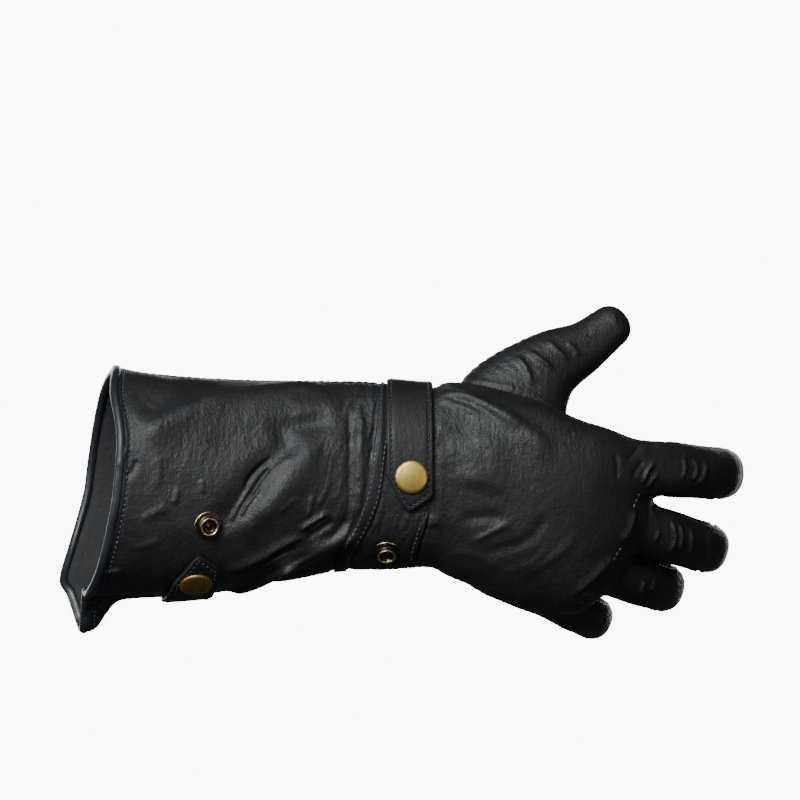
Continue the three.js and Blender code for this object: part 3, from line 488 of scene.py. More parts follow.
def sleeve_table():
    """The sleeve's sizes at its sections, in millimetres and degrees."""
    rows = []
    for share, width, depth, rise in CUFF_SECTIONS:
        width = MOUTH_WIDTH + (WRIST_WIDTH - MOUTH_WIDTH) * width
        depth = MOUTH_DEPTH + (WRIST_DEPTH - MOUTH_DEPTH) * depth
        rows.append((share * WRIST_X, width, depth, rise * MOUTH_WIDTH, 0.0, 0.0))
    for share, width, depth, rise, sway, roll in PALM_SECTIONS:
        x = WRIST_X + share * PALM_LENGTH
        sizes = (width * PALM_WIDTH, depth * PALM_DEPTH, rise * PALM_WIDTH, sway * PALM_DEPTH)
        rows.append((x, *sizes, roll))
    return dict(zip(("x", "width", "depth", "rise", "sway", "roll"), np.array(rows).T))


SLEEVE = sleeve_table()


def sleeve_size(name, x):
    return curve_through(SLEEVE["x"], SLEEVE[name], x)


def turned(angle):
    """The same angle between -180 and 180."""
    return (angle + 540) % 360 - 180


def fold_height(x, angle):
    """The height of the main folds at x and an angle round the sleeve."""
    girth = (sleeve_size("width", x) + sleeve_size("depth", x)) / 4
    place = np.radians(turned(angle)) * girth
    height = np.zeros(np.broadcast(x, angle).shape)
    for from_x, from_angle, to_x, to_angle, spread, rise in FOLDS:
        start_x = from_x * WRIST_X
        along_x = to_x * WRIST_X - start_x
        start_a = np.radians(from_angle) * girth
        along_a = np.radians(to_angle) * girth - start_a
        t = ((x - start_x) * along_x + (place - start_a) * along_a) / (along_x**2 + along_a**2)
        t = np.clip(t, 0, 1)
        distance = np.hypot(x - start_x - t * along_x, place - start_a - t * along_a)
        height = height + rise * WRIST_WIDTH * bell(distance, spread * WRIST_WIDTH)
    return height


def rim_shift(x, angle):
    """How far the leather stands out past its even edge, fading along the cuff."""
    angles, shifts = zip(*RIM_SHIFTS)
    fade = 1 - smooth_step(0, 0.45 * CUFF_LENGTH, x)
    return curve_through(angles, shifts, turned(angle)) * CUFF_LENGTH * fade


def sleeve_point(x, angle, outward=0.0):
    """A point of the sleeve at x and an angle round it, moved out of the leather's face by a distance."""
    x, angle = np.broadcast_arrays(np.asarray(x, float), np.asarray(angle, float))
    a = np.radians(angle)
    half_width = sleeve_size("width", x) / 2
    half_depth = sleeve_size("depth", x) / 2
    back = signed_power(np.cos(a), 2 / SECTION_POWER)
    up = signed_power(np.sin(a), 2 / SECTION_POWER)
    slope_y = -signed_power(back, SECTION_POWER - 1) / half_depth
    slope_z = signed_power(up, SECTION_POWER - 1) / half_width
    size = np.hypot(slope_y, slope_z)
    lift = outward + fold_height(x, angle)
    flat_y = -back * half_depth + slope_y / size * lift
    flat_z = up * half_width + slope_z / size * lift
    roll = np.radians(sleeve_size("roll", x))
    y = flat_y * np.cos(roll) - flat_z * np.sin(roll) + sleeve_size("sway", x)
    z = flat_y * np.sin(roll) + flat_z * np.cos(roll) + sleeve_size("rise", x)
    return np.stack([x + rim_shift(x, angle), y, z], axis=-1)


def sleeve_normal(x, angle, step=0.5):
    along = sleeve_point(x + step, angle) - sleeve_point(x - step, angle)
    around = sleeve_point(x, angle + step) - sleeve_point(x, angle - step)
    return unit(np.cross(along, around))


def angle_at_height(x, z):
    """The angle where the sleeve's back face stands at a height z."""
    share = np.clip((z - sleeve_size("rise", x)) / (sleeve_size("width", x) / 2), -1, 1)
    return np.degrees(np.arcsin(signed_power(share, SECTION_POWER / 2)))


def angle_after(x, angle, length):
    """The angle reached by going a length round the sleeve from a first angle, at one x."""
    angles = angle + np.arange(-200, 201, 1.0)
    way = way_along(sleeve_point(x, angles))
    return np.interp(length + way[200], way, angles)


def seam_x(seam, z):
    """Where a seam line stands at a height z."""
    x, rows = seam
    rises, shifts = zip(*rows)
    share = (z - sleeve_size("rise", WRIST_X)) / WRIST_WIDTH
    return x + curve_through(rises, shifts, share) * BAND_LENGTH


def seam_place(seam, angle, move=0.0):
    """The sleeve's own x of a seam line at an angle round it, moved to the fingers by a distance."""
    at = np.full(np.shape(angle), float(seam[0]))
    for _ in range(6):
        point = sleeve_point(at, angle)
        at = at + 0.8 * (seam_x(seam, point[..., 2]) + move - point[..., 0])
    return at


def sleeve_places(points):
    """The sleeve's x at points, and how far they stand from its middle to the palm side and up."""
    x = np.clip(points[:, 0], 0, SLEEVE_END)
    roll = np.radians(sleeve_size("roll", x))
    dy = points[:, 1] - sleeve_size("sway", x)
    dz = points[:, 2] - sleeve_size("rise", x)
    return x, dy * np.cos(roll) + dz * np.sin(roll), -dy * np.sin(roll) + dz * np.cos(roll)


def sleeve_angle(points):
    """The angle round the sleeve of points near its face."""
    x, out, up = sleeve_places(points)
    u = -out / (sleeve_size("depth", x) / 2)
    v = up / (sleeve_size("width", x) / 2)
    power = SECTION_POWER / 2
    return np.degrees(np.arctan2(signed_power(v, power), signed_power(u, power)))


# Strap and tab places

STRAP_X = WRIST_X - 0.46 * STRAP_WIDTH
STRAP_ANGLE = float(angle_at_height(STRAP_X, 0.045 * WRIST_WIDTH))
TAB_X = 0.353 * CUFF_LENGTH
TAB_ANGLE = float(angle_at_height(TAB_X, -0.406 * MOUTH_WIDTH))
TAB_TURN = -8.0
WRIST_STUD_X = WRIST_X - 0.79 * BAND_LENGTH
WRIST_STUD_ANGLE = float(angle_at_height(WRIST_STUD_X, -0.378 * WRIST_WIDTH))
CUFF_STUD_X = 0.4 * CUFF_LENGTH
CUFF_STUD_ANGLE = float(angle_at_height(CUFF_STUD_X, -0.175 * MOUTH_WIDTH))


def pressed(points, angle):
    """1 where the strap, the tab or a stud lies on the leather and holds it flat, 0 elsewhere."""
    held = np.zeros(len(points))
    half = STRAP_WIDTH / 2
    for x, middle, back, ahead, near, far in (
        (STRAP_X, STRAP_ANGLE, -POINT_LENGTH, STRAP_REACH, 1.5, 4.0),
        (TAB_X, TAB_ANGLE, -TAB_REACH, POINT_LENGTH, 2.5, 5.5),
    ):
        first = angle_after(x, middle, back)
        last = angle_after(x, middle, ahead)
        across = 1 - smooth_step(half + near, half + far, np.abs(points[:, 0] - x))
        around = smooth_step(first - 5, first - 1, angle) * (1 - smooth_step(last + 1, last + 5, angle))
        held = np.maximum(held, across * around)
    for x, middle in ((WRIST_STUD_X, WRIST_STUD_ANGLE), (CUFF_STUD_X, CUFF_STUD_ANGLE)):
        distance = np.linalg.norm(points - sleeve_point(x, middle), axis=1)
        held = np.maximum(held, 1 - smooth_step(STUD_RADIUS, STUD_RADIUS + 2.5, distance))
    return held


def broad_relief(points):
    """Soft unevenness of worn leather."""
    return 0.45 * noise(points, 27, 3) + 0.22 * noise(points, 10, 5) + 0.07 * noise(points, 4.3, 8)


def streaks(points, weight, pitch, length, seed):
    """Fine parallel ripples that run mostly up and down, where the weight is above 0."""
    leaned = points.copy()
    leaned[:, 0] = points[:, 0] - 0.28 * points[:, 2] + 1.6 * noise(points, 17, seed + 1)
    ripple = 1 - 2 * np.abs(noise(leaned, (pitch, 2.5 * pitch, length), seed))
    return weight * ripple


def soft_box(points, low, high, edge):
    """1 inside a box in the plane of the hand, fading over an edge."""
    inside = np.ones(len(points))
    for axis, (start, end) in zip((0, 2), zip(low, high)):
        inside = inside * smooth_step(start - edge, start + edge, points[:, axis])
        inside = inside * (1 - smooth_step(end - edge, end + edge, points[:, axis]))
    return inside


def facing(normals, sign):
    """1 where the leather faces the back (-1) or the palm side (1), 0 where it faces away."""
    return smooth_step(0.0, 0.45, sign * normals[:, 1])


def flattened(height, held):
    """Relief that is pressed flat, and a little down, where something holds the leather."""
    return height * (1 - held) - 0.25 * held


def cuff_relief(points, normals, angle, along):
    """Height of the cuff's small folds, hem and gathers. along: distance from the open edge."""
    x = points[:, 0]
    plane = points[:, [0, 2]]
    height = facing(normals, -1) * crease_height(plane, CUFF_CREASES)
    height += facing(normals, 1) * crease_height(plane, PALM_CREASES)
    height += broad_relief(points)
    middle = 0.25 + soft_box(points, (27, -6), (92, 42), 9)
    height += streaks(points, 0.055 * middle, 1.3, 5, 21)
    height += streaks(points, 0.26 * smooth_step(88, 112, x), 2.2, 12, 31)
    height += streaks(points, 0.16 * smooth_step(109, 113, x), 1.4, 7, 33)
    height += 0.35 * (1 - smooth_step(3.2, 4.4, along)) - 0.4 * bell(along - HEM_STITCHES, 0.6)
    height -= 0.5 * bell(seam_x(WRIST_SEAM, points[:, 2]) - x - 3.8, 1.1)
    for side in (-1, 1):
        across = (turned(angle) - 90 * side) * 0.75
        height += seam_profile(across, x)
    return flattened(height, pressed(points, angle))


def seam_profile(distance, along):
    """A sewn-in seam: a narrow groove between two soft rolls, pulled in at each stitch."""
    pucker = 1 + 0.25 * np.sin(2 * np.pi * along / (1.3 * STITCH_PITCH))
    return (0.32 * bell(np.abs(distance) - 1.7, 1.0) - 0.75 * bell(distance, 0.65)) * pucker


# Meshes


def new_object(name, data):
    """An object in the scene that shows the data."""
    item = bpy.data.objects.new(name, data)
    bpy.context.scene.collection.objects.link(item)
    return item


def make_piece(name, points, faces, materials, slot, *nodes):
    """A mesh in metres that rides on the glove and stands for the named solids."""
    mesh = bpy.data.meshes.new(name)
    mesh.from_pydata((np.asarray(points) * MM).tolist(), [], np.asarray(faces).tolist())
    mesh.validate()
    mesh.shade_smooth()
    for material in materials:
        mesh.materials.append(material)
    piece = new_object(name, mesh)
    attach(piece, "root")
    if nodes:
        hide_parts(*nodes)
    return piece


def grid_faces(rows, columns, start=0, closed=False):
    """Quads of a grid of points, each row following the last. closed joins the last column to the first."""
    across = columns if closed else columns - 1
    i, j = np.meshgrid(np.arange(rows - 1), np.arange(across), indexing="ij")
    a = start + i * columns + j
    b = start + i * columns + (j + 1) % columns
    return np.stack([a, b, b + columns, a + columns], axis=-1).reshape(-1, 4)


def grid_normals(points):
    """Outward unit normals of a grid of points whose rows run along the glove."""
    along = np.gradient(points, axis=0)
    around = np.gradient(points, axis=1)
    return unit(np.cross(along, around))


def ring_faces(rings):
    """Quads of a tube through closed rings of points that follow each other in a circle."""
    count, sides = rings.shape[:2]
    return grid_faces(count + 1, sides, closed=True) % (count * sides)


def closed_sheet(outer, inner):
    """Points and faces of a sheet with thickness, and how many of the faces are its outer side."""
    rows, columns = outer.shape[:2]
    count = rows * columns
    points = np.concatenate([outer.reshape(-1, 3), inner.reshape(-1, 3)])
    outside = grid_faces(rows, columns)[:, ::-1]
    inside = grid_faces(rows, columns, count)
    index = np.arange(count).reshape(rows, columns)
    loop = np.concatenate([index[0], index[1:, -1], index[-1, -2::-1], index[-2:0:-1, 0]])
    following = np.roll(loop, -1)
    edge = np.stack([loop, following, following + count, loop + count], axis=-1)
    return points, np.concatenate([outside, inside, edge]), len(outside)


def sleeve_sheet(starts, ends, angles, rows, relief):
    """Outer and inner grids of a panel of the sleeve between two places at each angle."""
    share = np.linspace(0, 1, rows)[:, None]
    x = starts[None, :] + (ends - starts)[None, :] * share
    angle = np.broadcast_to(angles[None, :], x.shape)
    outer = sleeve_point(x, angle)
    inner = sleeve_point(x, angle, -WALL)
    normals = grid_normals(outer)
    height = relief(outer.reshape(-1, 3), normals.reshape(-1, 3), angle.ravel(), x.ravel())
    lift = height.reshape(x.shape)[..., None] * normals
    return outer + lift, inner + 0.8 * lift


def make_panel(name, outer, inner):
    """A panel of the sleeve, whose inner side shows the flesh side of the leather."""
    points, faces, outside = closed_sheet(outer, inner)
    piece = make_piece(f"{name}_leather", points, faces, [LEATHER, FLESH_SIDE], "leather", name)
    index = np.ones(len(piece.data.polygons), np.int32)
    index[:outside] = 0
    piece.data.polygons.foreach_set("material_index", index)


# Fingers and thumb as spines with a section round them


def smooth_spine(joints, parts):
    """Points on a centripetal curve through joints, evenly stepped in each part."""
    joints = np.asarray(joints, float)
    padded = np.vstack([2 * joints[0] - joints[1], joints, 2 * joints[-1] - joints[-2]])
    points = []
    for k in range(len(joints) - 1):
        p0, p1, p2, p3 = padded[k : k + 4]
        d0, d1, d2 = (np.linalg.norm(b - a) ** 0.5 for a, b in ((p0, p1), (p1, p2), (p2, p3)))
        start = ((p1 - p0) / d0 - (p2 - p0) / (d0 + d1) + (p2 - p1) / d1) * d1
        end = ((p2 - p1) / d1 - (p3 - p1) / (d1 + d2) + (p3 - p2) / d2) * d1
        for t in np.arange(parts) / parts:
            cubic = 2 * p1 - 2 * p2 + start + end
            square = -3 * p1 + 3 * p2 - 2 * start - end
            points.append(p1 + t * (start + t * (square + t * cubic)))
    points.append(joints[-1])
    return np.array(points)


def finger_spine(row):
    """A finger's spine, the way its side faces, its radius at each point and each point's share of it."""
    along, rise, out, dip, lengths, bends, radii = row
    x = WRIST_X + along * PALM_LENGTH
    z = rise * PALM_WIDTH
    roll = math.radians(float(sleeve_size("roll", x)))
    level = math.tan(roll) * (z - float(sleeve_size("rise", x)))
    y = float(sleeve_size("sway", x)) - level + out * PALM_DEPTH
    dip = math.radians(dip)
    ahead = np.array([math.cos(dip), 0, math.sin(dip)])
    side = np.array([-math.sin(dip), 0, math.cos(dip)])
    palmward = np.array([0, 1, 0])

    def step(length, bend):
        bend = math.radians(bend)
        return length * FINGER_LENGTH * (math.cos(bend) * ahead + math.sin(bend) * palmward)

    joints = [np.array([x, y, z])]
    for length, bend in zip(lengths, bends):
        joints.append(joints[-1] + step(length, bend))
    joints.insert(0, joints[0] - step(FINGER_ROOT, bends[0] / 2))
    spine = smooth_spine(joints, 8)
    way = way_along(spine)
    share = way / way[-1]
    return {
        "spine": spine,
        "side": side,
        "share": share,
        "length": way[-1],
        "radius": np.interp(share, [0, 0.5, 1], radii) * FINGER_WIDTH,
        "ahead": unit(np.gradient(spine, axis=0)),
    }


def thumb_spine():
    """The thumb's spine, the ways it runs and faces, and its half sizes at each point."""
    rows = np.array(THUMB_SECTIONS)
    centres = rows[:, :3] * (PALM_LENGTH, PALM_WIDTH, PALM_DEPTH)
    joints = np.stack([WRIST_X + centres[:, 0], centres[:, 2], centres[:, 1]], axis=1)
    spine = smooth_spine(joints, 7)
    at = np.linspace(0, 1, len(spine))
    places = np.linspace(0, 1, len(rows))
    ahead = unit(np.gradient(spine, axis=0))
    return {
        "spine": spine,
        "ahead": ahead,
        "across": unit(np.cross(np.array([0.0, 1.0, 0.0]), ahead)),
        "wide": curve_through(places, rows[:, 3], at) * THUMB_WIDTH,
        "deep": curve_through(places, rows[:, 4], at) * THUMB_WIDTH,
    }


FINGER_SPINES = {name: finger_spine(row) for name, row in FINGERS.items()}
THUMB = thumb_spine()


def nearest_on_spine(points, spine):
    """The place of each point along a spine, in steps of it."""
    best = np.full(len(points), np.inf)
    at = np.zeros(len(points))
    for k in range(len(spine) - 1):
        along = spine[k + 1] - spine[k]
        offset = points - spine[k]
        t = np.clip(offset @ along / (along @ along), 0, 1)
        distance = ((offset - t[:, None] * along) ** 2).sum(axis=1)
        closer = distance < best
        best = np.where(closer, distance, best)
        at = np.where(closer, k + t, at)
    return at


def read_spine(values, at):
    k = np.clip(np.floor(at).astype(int), 0, len(values) - 2)
    t = at - k
    if values.ndim > 1:
        t = t[:, None]
    return values[k] * (1 - t) + values[k + 1] * t


def finger_places(points, finger):
    """Places beside, behind and past a finger's spine in radii, the share along it and its radius."""
    at = nearest_on_spine(points, finger["spine"])
    offset = points - read_spine(finger["spine"], at)
    ahead = unit(read_spine(finger["ahead"], at))
    radius = read_spine(finger["radius"], at)
    share = read_spine(finger["share"], at)
    knuckles = 0.035 * bell(share - 0.52, 0.07) + 0.02 * bell(share - 0.82, 0.05)
    radius = radius * (1 + knuckles - 0.03 * bell(share - 0.33, 0.1))
    side = offset @ finger["side"]
    back = (offset * np.cross(ahead, finger["side"])).sum(axis=1) / FINGER_FLATNESS
    past = (offset * ahead).sum(axis=1)
    return side / radius, back / radius, past / radius, share, radius


def only_near(points, spine, margin, field):
    """A field worked out only near its spine, and far off (large) elsewhere."""
    near = np.all((points > spine.min(0) - margin) & (points < spine.max(0) + margin), axis=1)
    values = np.full(len(points), FAR)
    if near.any():
        values[near] = field(points[near])
    return values


def rounded_gauge(a, b, c, power):
    """1 on a rounded box with half sizes of 1, less inside it and more outside."""
    return (np.abs(a) ** power + np.abs(b) ** power + np.abs(c) ** power) ** (1 / power)


def finger_field(points, finger):
    def near_field(here):
        side, back, past, _, radius = finger_places(here, finger)
        return (rounded_gauge(side, back, past, FINGER_POWER) - 1) * radius

    return only_near(points, finger["spine"], 0.95 * FINGER_WIDTH, near_field)


def thumb_places(points):
    """Places beside, out of and past the thumb's spine in its half sizes, and those half sizes."""
    at = nearest_on_spine(points, THUMB["spine"])
    offset = points - read_spine(THUMB["spine"], at)
    ahead = unit(read_spine(THUMB["ahead"], at))
    across = unit(read_spine(THUMB["across"], at))
    wide = read_spine(THUMB["wide"], at)
    deep = read_spine(THUMB["deep"], at)
    side = (offset * across).sum(axis=1) / wide
    out = (offset * np.cross(ahead, across)).sum(axis=1) / deep
    past = (offset * ahead).sum(axis=1) / wide
    return side, out, past, wide, deep


def thumb_field(points):
    def near_field(here):
        side, out, past, wide, deep = thumb_places(here)
        gauge = rounded_gauge(side, out, past, THUMB_POWER)
        slope = np.hypot(side / wide, out / deep) / np.maximum(np.hypot(side, out), 1e-6)
        return (gauge - 1) / np.maximum(slope, 1 / np.maximum(wide, deep))

    return only_near(points, THUMB["spine"], 1.8 * THUMB_WIDTH, near_field)


def sleeve_field(points):
    """Negative inside the sleeve, about the distance from its face."""
    x, out, up = sleeve_places(points)
    half_depth = sleeve_size("depth", x) / 2
    half_width = sleeve_size("width", x) / 2
    u = out / half_depth
    v = up / half_width
    gauge = (np.abs(u) ** SECTION_POWER + np.abs(v) ** SECTION_POWER) ** (1 / SECTION_POWER)
    gauge = np.maximum(gauge, 1e-6)
    steep = SECTION_POWER - 1
    slope = np.hypot(np.abs(u) ** steep / half_depth, np.abs(v) ** steep / half_width) * gauge ** (-steep)
    distance = (gauge - 1) / slope - fold_height(x, sleeve_angle(points))
    return np.maximum(distance, points[:, 0] - SLEEVE_END)


def soft_join(a, b, width):
    """The lower of two fields, rounded where they meet."""
    mix = np.clip(0.5 + 0.5 * (b - a) / width, 0, 1)
    return b + (a - b) * mix - width * mix * (1 - mix)


def hand_parts(points):
    """The fields of the palm, of each finger and of the thumb."""
    fingers = [finger_field(points, finger) for finger in FINGER_SPINES.values()]
    return sleeve_field(points), fingers, thumb_field(points)


def hand_field(points):
    """Negative inside the hand of the glove: palm, fingers and thumb joined smoothly."""
    palm, fingers, thumb = hand_parts(points)
    joined = fingers[0]
    for finger in fingers[1:]:
        joined = soft_join(joined, finger, 1.6)
    return soft_join(soft_join(palm, joined, 7.0), thumb, 4.0)


def field_slope(field, points, here, step=0.2):
    """The slope of a field at points where its values are here."""
    slope = np.empty_like(points)
    for axis in range(3):
        move = np.zeros(3)
        move[axis] = step
        slope[:, axis] = (field(points + move) - here) / step
    return slope


def finer(grid, times):
    """The same values on a grid that is a number of times finer."""
    for axis in range(3):
        grid = np.repeat(grid, times, axis)
    return grid


def surface_net(field, low, high, step, level):
    """Points and quads on the surface where a field has a level, from a grid of cells."""
    coarse = 4
    counts = np.ceil((high - low) / (step * coarse)).astype(int)
    axes = [low[k] + step * coarse * (np.arange(counts[k]) + 0.5) for k in range(3)]
    centres = np.stack(np.meshgrid(*axes, indexing="ij"), axis=-1).reshape(-1, 3)
    rough = (field(centres) - level).reshape(counts)
    values = finer(np.sign(rough) * FAR, coarse)
    wanted = np.argwhere(finer(np.abs(rough) < step * coarse * 1.5, coarse))
    values[tuple(wanted.T)] = field(low + step * (wanted + 0.5)) - level
    cells, crossings, quads = [], [], []
    strides = np.array([values.shape[1] * values.shape[2], values.shape[2], 1])
    for axis in range(3):
        ahead = np.eye(3, dtype=int)[axis]
        inside = values < 0
        changes = np.diff(inside, axis=axis)
        place = np.argwhere(changes)
        place = place[np.all(place > 0, axis=1)]
        va = values[tuple(place.T)]
        vb = values[tuple((place + ahead).T)]
        cross = place + ahead * (va / (va - vb))[:, None]
        u, v = [k for k in range(3) if k != axis]
        around = []
        for du, dv in ((0, 0), (1, 0), (1, 1), (0, 1)):
            cell = place.copy()
            cell[:, u] -= du
            cell[:, v] -= dv
            around.append(cell @ strides)
            cells.append(around[-1])
            crossings.append(cross)
        quad = np.stack(around, axis=1)
        flip = (va < 0) != (axis == 1)
        quad[flip] = quad[flip][:, ::-1]
        quads.append(quad)
    cells = np.concatenate(cells)
    crossings = np.concatenate(crossings)
    used, index = np.unique(cells, return_inverse=True)
    total = np.bincount(index)
    points = np.stack([np.bincount(index, crossings[:, k]) / total for k in range(3)], axis=1)
    return low + step * (points + 0.5), np.searchsorted(used, np.concatenate(quads))


def settle(field, points, level, rounds=2):
    """Moves points onto the surface where a field has a level, and gives the surface's normals there."""
    for _ in range(rounds):
        here = field(points)
        slope = field_slope(field, points, here)
        size = np.maximum((slope**2).sum(axis=1), 0.05)
        move = np.clip((here - level) / size, -1.0, 1.0)
        points = points - move[:, None] * slope
    return points, unit(field_slope(field, points, field(points)))


# Materials


def new_material(name):
    """A new material, its node tree and its shader."""
    material = bpy.data.materials.new(name)
    material.use_nodes = True
    return material, material.node_tree, material.node_tree.nodes["Principled BSDF"]


def texture(tree, kind, place, output="Fac", **inputs):
    """The output of a texture that is read at a place."""
    node = tree.nodes.new(f"ShaderNodeTex{kind}")
    tree.links.new(place, node.inputs["Vector"])
    for name, value in inputs.items():
        node.inputs[name].default_value = value
    return node.outputs[output]


def ramp(tree, source, target, stops):
    """Leads a source through a ramp of two colours to a target."""
    node = tree.nodes.new("ShaderNodeValToRGB")
    tree.links.new(source, node.inputs["Fac"])
    for k, (at, colour) in enumerate(stops):
        element = node.color_ramp.elements[k]
        element.position = at
        element.color = (*colour, 1)
    tree.links.new(node.outputs["Color"], target)


def grey(value):
    return (value, value, value)


def add_bump(tree, shader, heights):
    """A chain of bumps, each a height source with its depth in millimetres and strength."""
    normal = None
    for source, depth, strength in heights:
        bump = tree.nodes.new("ShaderNodeBump")
        bump.inputs["Distance"].default_value = depth * MM
        bump.inputs["Strength"].default_value = strength
        tree.links.new(source, bump.inputs["Height"])
        if normal is not None:
            tree.links.new(normal, bump.inputs["Normal"])
        normal = bump.outputs["Normal"]
    tree.links.new(normal, shader.inputs["Normal"])


def leather_material(name, dark, light, gloss, grain, wrinkle, shine=0.42):
    """Black leather: fine grain, small wrinkles, worn patches. gloss: least and most roughness."""
    material, tree, shader = new_material(name)
    place = tree.nodes.new("ShaderNodeTexCoord").outputs["Object"]
    wear = texture(tree, "Noise", place, Scale=55.0, Detail=4.0, Roughness=0.6)
    ramp(tree, wear, shader.inputs["Base Color"], [(0.3, dark), (0.7, light)])
    patches = texture(tree, "Noise", place, Scale=130.0, Detail=5.0, Roughness=0.65)
    ramp(tree, patches, shader.inputs["Roughness"], [(0.3, grey(gloss[0])), (0.72, grey(gloss[1]))])
    cells = texture(tree, "Voronoi", place, "Distance", Scale=1050.0)
    small = texture(tree, "Noise", place, Scale=420.0, Detail=6.0, Roughness=0.62)
    stretch = tree.nodes.new("ShaderNodeMapping")
    stretch.inputs["Rotation"].default_value = (0, 0.28, 0)
    stretch.inputs["Scale"].default_value = (1.0, 0.6, 0.2)
    tree.links.new(place, stretch.inputs["Vector"])
    lines = texture(tree, "Noise", stretch.outputs["Vector"], Scale=520.0, Detail=3.0)
    add_bump(tree, shader, [(small, 0.9, wrinkle), (lines, 0.6, wrinkle), (cells, 0.25, grain)])
    shader.inputs["Specular IOR Level"].default_value = shine
    return material


def brass_material(name, bright, dull, gloss, scale):
    """Worn brass, duller and rougher in its stains. gloss: least and most roughness."""
    material, tree, shader = new_material(name)
    place = tree.nodes.new("ShaderNodeTexCoord").outputs["Object"]
    stains = texture(tree, "Noise", place, Scale=scale, Detail=6.0, Roughness=0.7)
    ramp(tree, stains, shader.inputs["Base Color"], [(0.32, dull), (0.62, bright)])
    ramp(tree, stains, shader.inputs["Roughness"], [(0.3, grey(gloss[1])), (0.65, grey(gloss[0]))])
    shader.inputs["Metallic"].default_value = 1.0
    scratches = texture(tree, "Noise", place, Scale=2600.0, Detail=2.0)
    add_bump(tree, shader, [(stains, 0.12, 0.5), (scratches, 0.03, 0.6)])
    return material


leathers = [leather_material(name, *row) for name, row in LEATHERS.items()]
LEATHER, HEM_LEATHER, STRAP_LEATHER, FLESH_SIDE, THREAD, DARK_THREAD = leathers
BRASS, SHADED_CAP_BRASS, BRIGHT_BRASS, DARK_BRASS = [brass_material(name, *row) for name, row in BRASSES.items()]

# Cuff, wrist band and the strip over the wrist seam


def make_cuff():
    """Both panels of the cuff. Gives the outer and inner grid of each."""
    for name, first, last, rows, columns in CUFF_PANELS:
        angles = np.linspace(first, last, columns)
        ends = seam_place(WRIST_SEAM, angles)
        outer, inner = sleeve_sheet(np.zeros(columns), ends, angles, rows, cuff_relief)
        make_panel(name, outer, inner)
        yield outer, inner


def band_relief(points, normals, angle, along):
    """Height of the wrist band's gathers and of its edges at the two seams."""
    height = 0.5 * broad_relief(points)
    height += streaks(points, np.full(len(points), 0.3), 2.2, 12, 41)
    height += streaks(points, np.full(len(points), 0.16), 1.3, 5, 43)
    start = points[:, 0] - seam_x(WRIST_SEAM, points[:, 2])
    end = seam_x(HAND_SEAM, points[:, 2]) - points[:, 0]
    height -= 0.45 * bell(start - 3.8, 0.9)
    height += 0.25 * bell(end - 0.2, 1.4) - 0.35 * bell(end - 2.0, 0.5)
    return flattened(height, pressed(points, angle))


def make_band():
    angles = np.linspace(-93, 93, 200)
    starts = seam_place(WRIST_SEAM, angles)
    ends = seam_place(HAND_SEAM, angles, 0.8)
    make_panel("wrist_band", *sleeve_sheet(starts, ends, angles, 56, band_relief))


def make_binding(edges):
    """The rolled edge round the open end, over the rims of both panels."""
    outer = np.concatenate([sheet[0][0][:-1] for sheet in edges])
    inner = np.concatenate([sheet[1][0][:-1] for sheet in edges])
    next_row = np.concatenate([(sheet[0][6] + sheet[1][6])[:-1] / 2 for sheet in edges])
    middle = (outer + inner) / 2
    ahead = unit(next_row - middle)
    out = outer - inner
    out = unit(out - (out * ahead).sum(axis=1)[:, None] * ahead)
    centres = middle + 0.5 * ahead
    turn = np.linspace(0, 2 * np.pi, 20, endpoint=False)[None, :, None]
    rings = centres[:, None] + np.cos(turn) * ROLL_AHEAD * ahead[:, None]
    rings = rings + np.sin(turn) * ROLL_OUT * out[:, None]
    points = rings.reshape(-1, 3)
    make_piece("rolled_edge", points, ring_faces(rings), [HEM_LEATHER], "hem_leather", "cuff_binding")


def make_seam_strip():
    """The narrow strip that covers the wrist seam all round, under the strap."""
    angles = np.linspace(-180, 180, 420, endpoint=False)
    rows, under = [], []
    for share in np.linspace(-1, 1, 15):
        x = seam_place(WRIST_SEAM, angles, share * STRIP_HALF)
        base = sleeve_point(x, angles)
        normal = sleeve_normal(x, angles)
        held = pressed(base, angles)
        crown = 0.35 + 0.55 * (1 - share**6)
        dips = 0.35 * bell(abs(share) - 0.68, 0.13)
        lift = (crown - dips) * (1 - held) + 0.1 * held - (0.9 if abs(share) == 1 else 0)
        rows.append(base + normal * lift[:, None])
        under.insert(0, base - normal * 0.8)
    rings = np.stack(rows + under[1:-1], axis=1)
    faces = ring_faces(rings)[:, ::-1]
    make_piece("wrist_seam_strip", rings.reshape(-1, 3), faces, [STRAP_LEATHER], "leather")


# The hand


